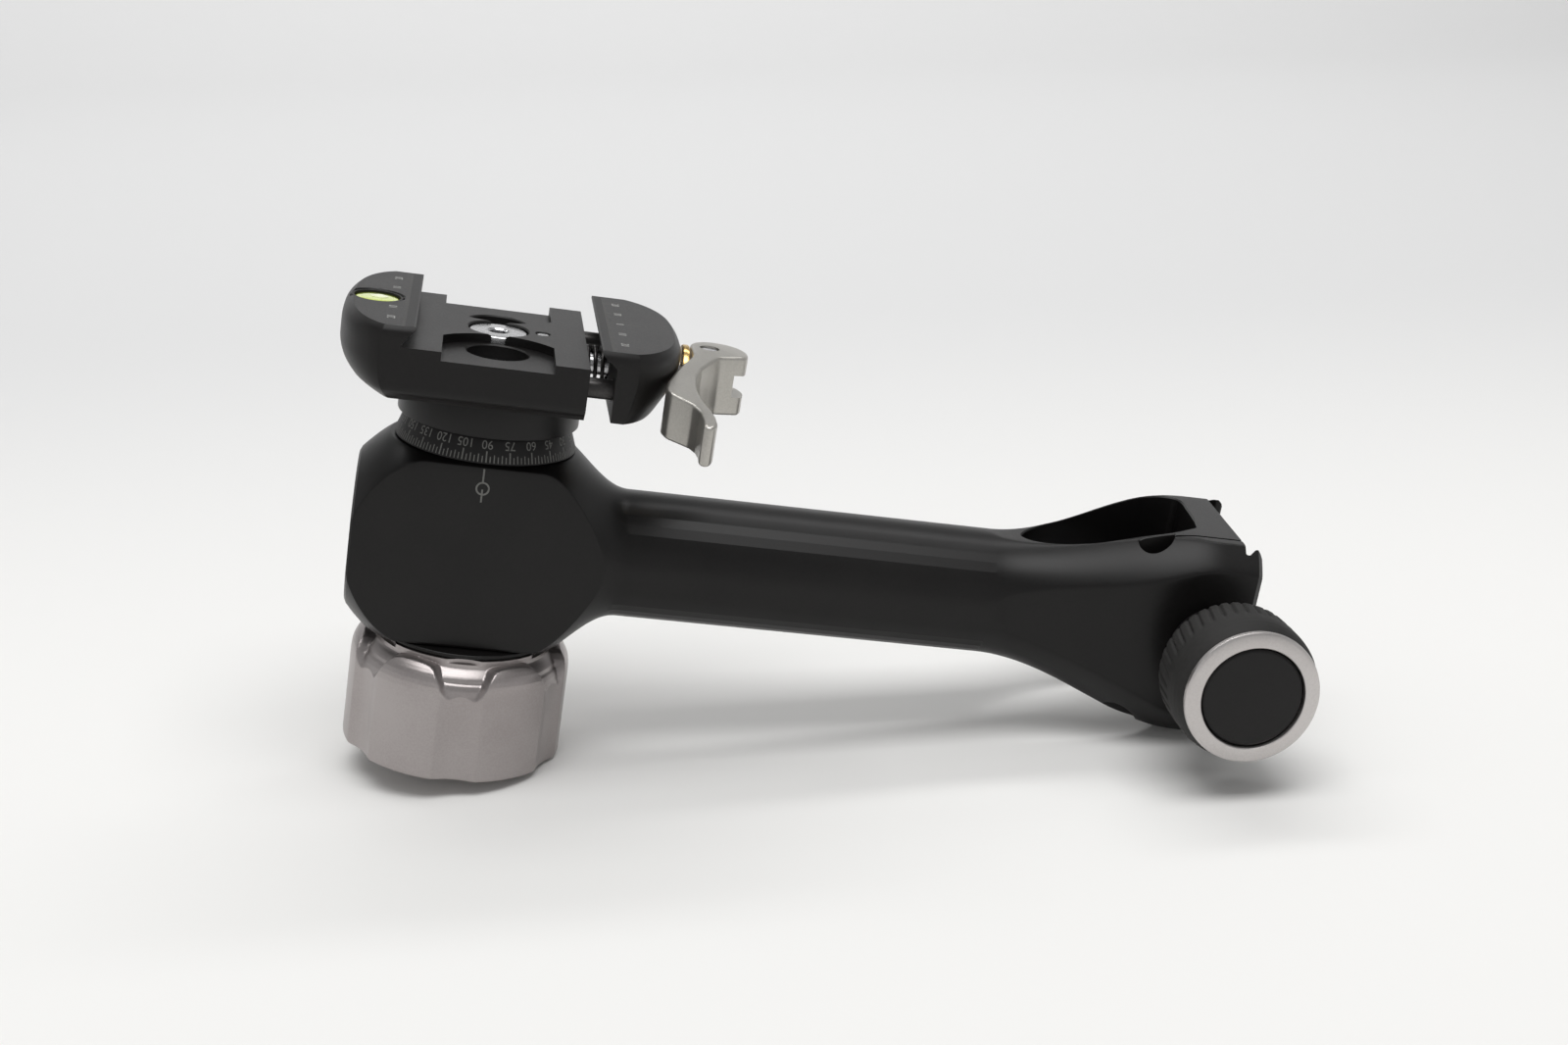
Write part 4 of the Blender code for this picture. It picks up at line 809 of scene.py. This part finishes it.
lathe_piece("level_bubble_lens", pale_bubble, "rotor",
            [(1.2, 54.5), (1.9, 54.55), (1.7, 54.63), (1.0, 54.68), (0.02, 54.7)], "level_bubble",
            centre=(-27.2, 0.5, 0), steps=48)

# %% [markdown]
# ## Lock knob
# The lobed knob is again one function, of angle and height. A rounded wall gives its lobes, six
# shallow flutes part them, and above each flute a scoop opens like a funnel, with a stepped floor
# that faces up. Tables of height say how far the wall, the floor and the scoop's edge lie.

# %% Lock knob
KNOB_TOP, KNOB_LOW = -23.2, -51.6
FLUTE_HALF, FLUTE_DEPTH, SCOOP_WALL = math.radians(11.5), 1.25, math.radians(2.6)


def lobes(z):
    """Radius of the uncut knob: a straight wall that rounds over toward the top."""
    section = np.array([(KNOB_LOW, 25.2), (-51.35, 25.6), (-50.9, 25.8), (-50.4, 25.85), (-30.0, 25.8), (-28.6, 25.7),
                        (-27.6, 25.5), (-26.6, 25.1), (-25.8, 24.6), (-25.0, 23.9), (-24.4, 23.2), (-24.1, 22.5),
                        (-24.0, 20.9), (KNOB_TOP, 20.8)])
    return np.interp(z, section[:, 0], section[:, 1])


def scoop_floor(z):
    """Radius of a scoop's floor: two slopes that face up, with a short wall above each."""
    section = np.array([(-33.0, 26.2), (-32.4, 25.4), (-31.6, 24.95), (-30.6, 24.55), (-29.4, 24.2), (-28.4, 23.65),
                        (-27.9, 23.15), (-27.5, 23.0), (-27.1, 22.9), (-26.6, 22.5), (-26.0, 21.9), (-25.4, 21.2),
                        (-25.0, 20.85), (-24.6, 20.8), (KNOB_TOP, 20.8)])
    return np.interp(z, section[:, 0], section[:, 1])


def scoop_width(z):
    """Half the angle that a scoop spans: a funnel, narrow at its tip and open to the next scoop at the top."""
    section = np.array([(-32.6, 0.0), (-32.2, 3.6), (-31.6, 6.0), (-30.8, 8.0), (-29.6, 9.8), (-28.0, 11.6),
                        (-26.5, 13.6), (-25.3, 15.6), (-24.7, 17.6), (-24.45, 20.5), (-24.25, 25.0), (-24.1, 30.5),
                        (KNOB_TOP, 31.0)])
    return np.radians(np.interp(z, section[:, 0], section[:, 1]))


def knob_surface(cols=600):
    """Wall radius, less a flute wave, blended to a scoop's floor inside the scoop's edge."""
    z = np.concatenate([np.linspace(KNOB_LOW, -50.4, 12)[:-1], np.linspace(-50.4, -33.2, 26)[:-1],
                        np.linspace(-33.2, -25.2, 54)[:-1], np.linspace(-25.2, KNOB_TOP, 26)])[:, None]
    angle = np.linspace(0, 2 * math.pi, cols, endpoint=False)[None, :]
    off = np.abs((angle + math.radians(88.5) + math.pi / 6) % (math.pi / 3) - math.pi / 6)
    wall = lobes(z)
    flute = 1 - np.clip(off / FLUTE_HALF, 0, 1) ** 2.4
    flute = wall - FLUTE_DEPTH * flute ** 1.3
    floor = np.minimum(scoop_floor(z), wall)
    inside = np.clip((scoop_width(z) - off) / SCOOP_WALL + 0.5, 0, 1)
    inside = inside ** 2 * (3 - 2 * inside)
    radius = np.minimum(flute, flute + (floor - flute) * inside)
    return shell(np.stack([radius * np.cos(angle), radius * np.sin(angle), np.repeat(z, cols, 1)], -1))

knob = new_piece("lock_knob_skin", knob_surface())
carve(knob, turned([(15.3, -60), (15.3, -48.7), (6.9, -48.7), (6.9, -18)], steps=96))
fit(knob, grey, "tilt_lock", "lock_knob")
lathe_piece("knob_cap_turned", plastic, "tilt_lock", rod_profile(15.0, -51.0, -49.0, 0.4), "knob_cap")

# %% [markdown]
# ## Clamp knob
# The far knob has a ribbed rubber grip round a moulded core, a bright ring and a black face. Its
# ribs are a wave round the axis that turns a little with depth and fades toward the front band.

# %% Clamp knob
KNOB_X = 174.6
AXIS_Y = {"axis": "Y", "centre": (KNOB_X, 0, 0)}
RIBS = 38


def grip_surface(rows=70, per_rib=14):
    """Band radius minus a rib wave; the wave's angle shifts with depth and its size fades out."""
    y = np.linspace(-35.9, -53.9, rows)
    share = (y + 35.9) / -18.0
    band = np.interp(share, [0, 0.03, 0.1, 0.22, 0.45, 0.72, 0.82, 0.9, 0.96, 1.0],
                     [14.6, 15.5, 16.3, 16.85, 17.0, 17.0, 16.85, 16.45, 15.95, 15.5])
    fade = np.clip(share / 0.04, 0, 1) * np.clip((0.62 - share) / 0.14, 0, 1)
    cols = RIBS * per_rib
    angle = np.linspace(0, 2 * math.pi, cols, endpoint=False)[None, :]
    wave = (RIBS * (angle - 0.16 * share[:, None])) / (2 * math.pi) % 1.0
    valley = np.clip(1 - np.abs(wave - 0.5) / 0.24, 0, 1)
    r = band[:, None] - 0.55 * fade[:, None] * valley ** 1.2
    outside = np.stack([r * np.cos(angle), np.repeat(y[:, None], cols, 1), r * np.sin(angle)], -1)
    inner = np.array([(-53.9, 11.0), (-35.9, 11.0)])
    inside = np.stack([np.stack([np.cos(angle[0]) * q, np.full(cols, h), np.sin(angle[0]) * q], -1)
                       for h, q in inner])
    return shell(np.concatenate([outside, inside]) + np.array([KNOB_X, 0, 0]), ring=True)


grip = new_piece("knob_grip_skin", grip_surface())
fit(grip, rubber, "clamp_knob", "knob_grip")
lathe_piece("knob_ring_turned", ring_metal, "clamp_knob",
            soften([(12.1, -56.2), (15.8, -55.7), (15.8, -54.2), (12.1, -54.2)], [0.6, 0.9, 0.3, 0.2]), "knob_ring",
            ring=True, steps=144, **AXIS_Y)
lathe_piece("knob_face_turned", plastic, "clamp_knob",
            soften([(0.02, -55.5), (11.2, -55.6), (11.8, -55.2), (11.8, -54.2), (0.02, -54.2)],
                   [0, 0.3, 0.3, 0.2, 0], closed=False), "knob_face", steps=144, **AXIS_Y)
core = new_piece("knob_core_turned", turned(rod_profile(10.6, -53.6, -26.0, 0.6), **AXIS_Y))
carve(core, turned([(3.3, -44.3), (3.3, -20)], steps=48, **AXIS_Y))
fit(core, plastic, "clamp_knob", "knob_core")
lathe_piece("knob_washer_turned", steel, "clamp_knob", ring_profile(3.3, 7.5, -25.7, -24.5, 0.2), "knob_washer",
            ring=True, steps=64, **AXIS_Y)
lathe_piece("stud_turned", steel, "clamp_knob", rod_profile(3.0, -44.0, 6.0, 0.5), "clamp_stud", steps=48, **AXIS_Y)

# %% [markdown]
# ## Marks
# The dial, the hub and both jaws carry engraved lines and plain numbers filled with pale paint.
# Each mark is a thin block drawn on a flat sheet with u to the right, v up and h outward; a small
# function then lays the sheet on the cone or on a face. The numbers are text turned into a mesh.

# %% Mark helpers
MARK = 0.02


def blocks(rows):
    """Corners and faces of thin boxes, one for each row of left, low, right and high."""
    r = np.asarray(rows, float)
    u, v = r[:, [0, 2, 2, 0]], r[:, [1, 1, 3, 3]]
    h = np.repeat([[-MARK] * 4 + [MARK] * 4], len(r), 0)
    corners = np.stack([np.tile(u, 2), np.tile(v, 2), h], -1).reshape(-1, 3)
    faces = np.array([(0, 3, 2, 1), (4, 5, 6, 7), (0, 1, 5, 4), (1, 2, 6, 5), (2, 3, 7, 6), (3, 0, 4, 7)])
    return corners, (faces[None] + 8 * np.arange(len(r))[:, None, None]).reshape(-1, 4).tolist()


def number(text, u, v, size, turn):
    """Corners and faces of a number in Blender's own font, turned and set with its middle at u, v."""
    curve = bpy.data.curves.new("number", "FONT")
    curve.body, curve.size, curve.extrude, curve.resolution_u = text, size, MARK, 3
    holder = bpy.data.objects.new("number", curve)
    mesh = bpy.data.meshes.new_from_object(holder)
    points = np.empty(3 * len(mesh.vertices))
    mesh.vertices.foreach_get("co", points)
    points = points.reshape(-1, 3)
    points[:, :2] -= (points[:, :2].min(0) + points[:, :2].max(0)) / 2
    c, w = math.cos(math.radians(turn)), math.sin(math.radians(turn))
    points = points @ np.array([[c, w, 0], [-w, c, 0], [0, 0, 1]]) + (u, v, 0)
    faces = [list(polygon.vertices) for polygon in mesh.polygons]
    bpy.data.objects.remove(holder)
    return points, faces


def marked(name, material, body, place, parts):
    """Join blocks and numbers, lay them with the place function and give them their paint."""
    starts = np.cumsum([0] + [len(points) for points, _ in parts[:-1]])
    points = place(*np.concatenate([points for points, _ in parts]).T)
    faces = [[index + int(start) for index in face] for (_, part), start in zip(parts, starts) for face in part]
    mesh = bpy.data.meshes.new(name)
    mesh.from_pydata(lay(np.stack(points, -1)).tolist(), [], faces)
    piece = bpy.data.objects.new(name, mesh)
    bpy.context.scene.collection.objects.link(piece)
    fit(piece, material, body)


# %% [markdown]
# ## Scales of the dial, the hub and the jaws
# The dial has a line each 2.5 degrees and a number each 15, upside down to someone in front. The
# hub's flat has the index, a ring on a line. The jaws count 10 mm steps from the clamp's middle.

# %% Scales


DIAL_DRAWN = 20.0


def on_dial(u, v, h):
    """Angle is u over the dial's drawn radius, and the radius shrinks with v along the cone."""
    angle = u / DIAL_DRAWN - math.pi / 2
    radius = DIAL_R0 + (DIAL_R1 - DIAL_R0) * v / (DIAL_TOP - DIAL_LOW) + h
    return radius * np.cos(angle), radius * np.sin(angle), DIAL_LOW + v


degrees = np.arange(0, 360, 2.5)
middle = np.radians(90 - degrees) * DIAL_DRAWN
long_line, half_line = degrees % 15 == 0, degrees % 5 == 0
line_top = np.where(long_line, 2.75, np.where(half_line, 2.05, 1.7))
line_half = np.where(long_line, 0.16, 0.12)
dial_lines = np.stack([middle - line_half, np.full_like(middle, 0.35), middle + line_half, line_top], 1)
dial_numbers = [number(str(value), math.radians(90 - value) * DIAL_DRAWN, 4.1, 2.7, 180)
                for value in range(0, 360, 15)]
marked("dial_marks_thin", dial_paint, "rotor", on_dial, [blocks(dial_lines)] + dial_numbers)

INDEX_Z, HUB_FLAT = 17.26, -16.8
marked("index_lines_thin", dial_paint, "arm", lambda u, v, h: (u, HUB_FLAT - h, v),
       [blocks([(-0.2, INDEX_Z + 1.4, 0.2, 21.9), (-0.15, 14.0, 0.25, INDEX_Z - 0.2)])])
lathe_piece("index_ring_thin", dial_paint, "arm", [(1.2, -16.84), (1.6, -16.84), (1.6, -16.7), (1.2, -16.7)],
            ring=True, axis="Y", centre=(0.1, 0, INDEX_Z), steps=48)


def jaw_scale(name, body, band, outward_way, labels_at, label_turn):
    """Band beside the lip, a line each 1 mm, longer each 5 and 10, and the numbers 20, 10, 0, 10, 20."""
    place = lambda u, v, h: (u, v, JAW_TOP + h)
    marked(name + "_band_thin", band_grey, body, place, [blocks([(min(band), -27.2, max(band), 27.2)])])
    y = np.arange(-25, 26)
    length = np.where(y % 10 == 0, 1.7, np.where(y % 5 == 0, 1.2, 0.7))
    start = band[1]
    ends = start + outward_way * length
    lines = np.stack([np.minimum(start, ends), y - 0.09, np.maximum(start, ends), y + 0.09], 1)
    faint = [blocks(lines)]
    if outward_way > 0:
        faint.append(blocks([(28.9, -0.1, 32.2, 0.1)]))
    marked(name + "_lines_thin", dial_paint, body, place, faint)
    shown = [value for value in (-20, -10, 0, 10, 20) if value or outward_way > 0]
    numbers = [number(str(abs(value)), labels_at, value, 2.6, label_turn) for value in shown]
    marked(name + "_numbers_thin", pale_paint, body, place, numbers)


jaw_scale("fixed_jaw", "rotor", (-18.6, -20.5), -1, -23.8, 90)
jaw_scale("movable_jaw", "jaw", (22.4, 24.1), 1, 27.3, -90)

# %% [markdown]
# ## Studio
# The object lies on a pale sweep in soft light from above. The floor and the wall are one curved
# sheet, and lamps are large and plain, so that colours render about as they are written. The
# sheet's colour darkens from the floor up the wall, painted shade where the light falls off.

# %% Floor and lamps


def sweep():
    """Floor that turns up into a wall along a large quarter circle."""
    turn = np.linspace(0, math.pi / 2, 24)
    y = np.concatenate([[-6.0], 1.4 + 0.8 * np.sin(turn), [2.2]])
    z = np.concatenate([[0.0], 0.8 - 0.8 * np.cos(turn), [1.1]])
    x = np.array([-5.0, 5.0])
    return np.stack([np.repeat(x[None], len(y), 0), np.repeat(y[:, None], 2, 1), np.repeat(z[:, None], 2, 1)], -1)


sheet_points = sweep()
rows = len(sheet_points)
k = np.arange(rows - 1) * 2
sheet_mesh = bpy.data.meshes.new("studio_sweep")
sheet_mesh.from_pydata(sheet_points.reshape(-1, 3).tolist(), [], np.stack([k, k + 1, k + 3, k + 2], 1).tolist())
sheet_mesh.shade_smooth()
studio = bpy.data.objects.new("studio_sweep", sheet_mesh)
bpy.context.scene.collection.objects.link(studio)
sweep_paint_and_shade, floor_shader, floor_wire = finish("studio_paint", 0.0, ior=1.2)
floor_shader.inputs["Roughness"].default_value = 0.85
# Painted shade: the sheet's colour darkens from the floor up the wall, where the light falls off.
height = floor_wire.node("ShaderNodeSeparateXYZ", Vector=floor_wire.node("ShaderNodeTexCoord", out=3), out=1)
connect(floor_shader, height.ramp(0.0, 0.5).mix((0.86, 0.855, 0.84), (0.70, 0.70, 0.70)), "Base Color")
sheet_mesh.materials.append(sweep_paint_and_shade)


def lamp(name, place, target, size, power):
    light = bpy.data.lights.new(name, "AREA")
    light.shape = "RECTANGLE"
    light.size, light.size_y = size
    light.energy = power
    holder = bpy.data.objects.new(name, light)
    holder.location = place
    holder.rotation_euler = (Vector(target) - Vector(place)).to_track_quat("-Z", "Y").to_euler()
    bpy.context.scene.collection.objects.link(holder)
    return holder


lamp("overhead", (0.0, -0.30, 1.2), (0, 0, 0), (1.1, 0.6), 9.5)
lamp("backdrop", (0.0, 0.9, 1.7), (0, 2.0, 0.2), (2.4, 0.6), 26)
world = bpy.data.worlds.new("studio_world")
world.use_nodes = True
sky = world.node_tree.nodes["Background"]
sky_wire = Wire(world.node_tree, None)
rise = sky_wire.node("ShaderNodeSeparateXYZ", Vector=sky_wire.node("ShaderNodeTexCoord"), out=2)
connect(sky, (1 - rise.ramp(0.3, 0.6)) * 0.30 + 0.30, "Strength")
sky.inputs["Color"].default_value = (1, 1, 1, 1)
bpy.context.scene.world = world

# %% [markdown]
# ## Camera
# The camera's place and directions were worked out in the arm's own frame from the photograph's
# straight and round edges, so the same matrix that lays the arm on the table places the camera.

# %% Camera
eye_point = np.array([-13.557, -468.187, 159.744])
forward = np.array([0.17275, 0.93914, -0.29695])
upward = np.array([-0.10614, 0.31748, 0.94231])
look = Vector(forward @ AXES).normalized()
high = Vector(upward @ AXES)
right_way = look.cross(high).normalized()
high = right_way.cross(look).normalized()
place = Vector(lay(eye_point))
camera_data = bpy.data.cameras.new("photo_camera")
camera_data.sensor_width = 36.0
camera_data.lens = 36.0 * 2122.43 / 1600
camera = bpy.data.objects.new("photo_camera", camera_data)
camera.matrix_world = Matrix(((right_way.x, high.x, -look.x, place.x), (right_way.y, high.y, -look.y, place.y),
                              (right_way.z, high.z, -look.z, place.z), (0, 0, 0, 1)))
bpy.context.scene.collection.objects.link(camera)
bpy.context.scene.camera = camera
bpy.context.scene.view_settings.view_transform = "Standard"
print("camera looks down by", round(math.degrees(math.asin(-look.z)), 1), "degrees")
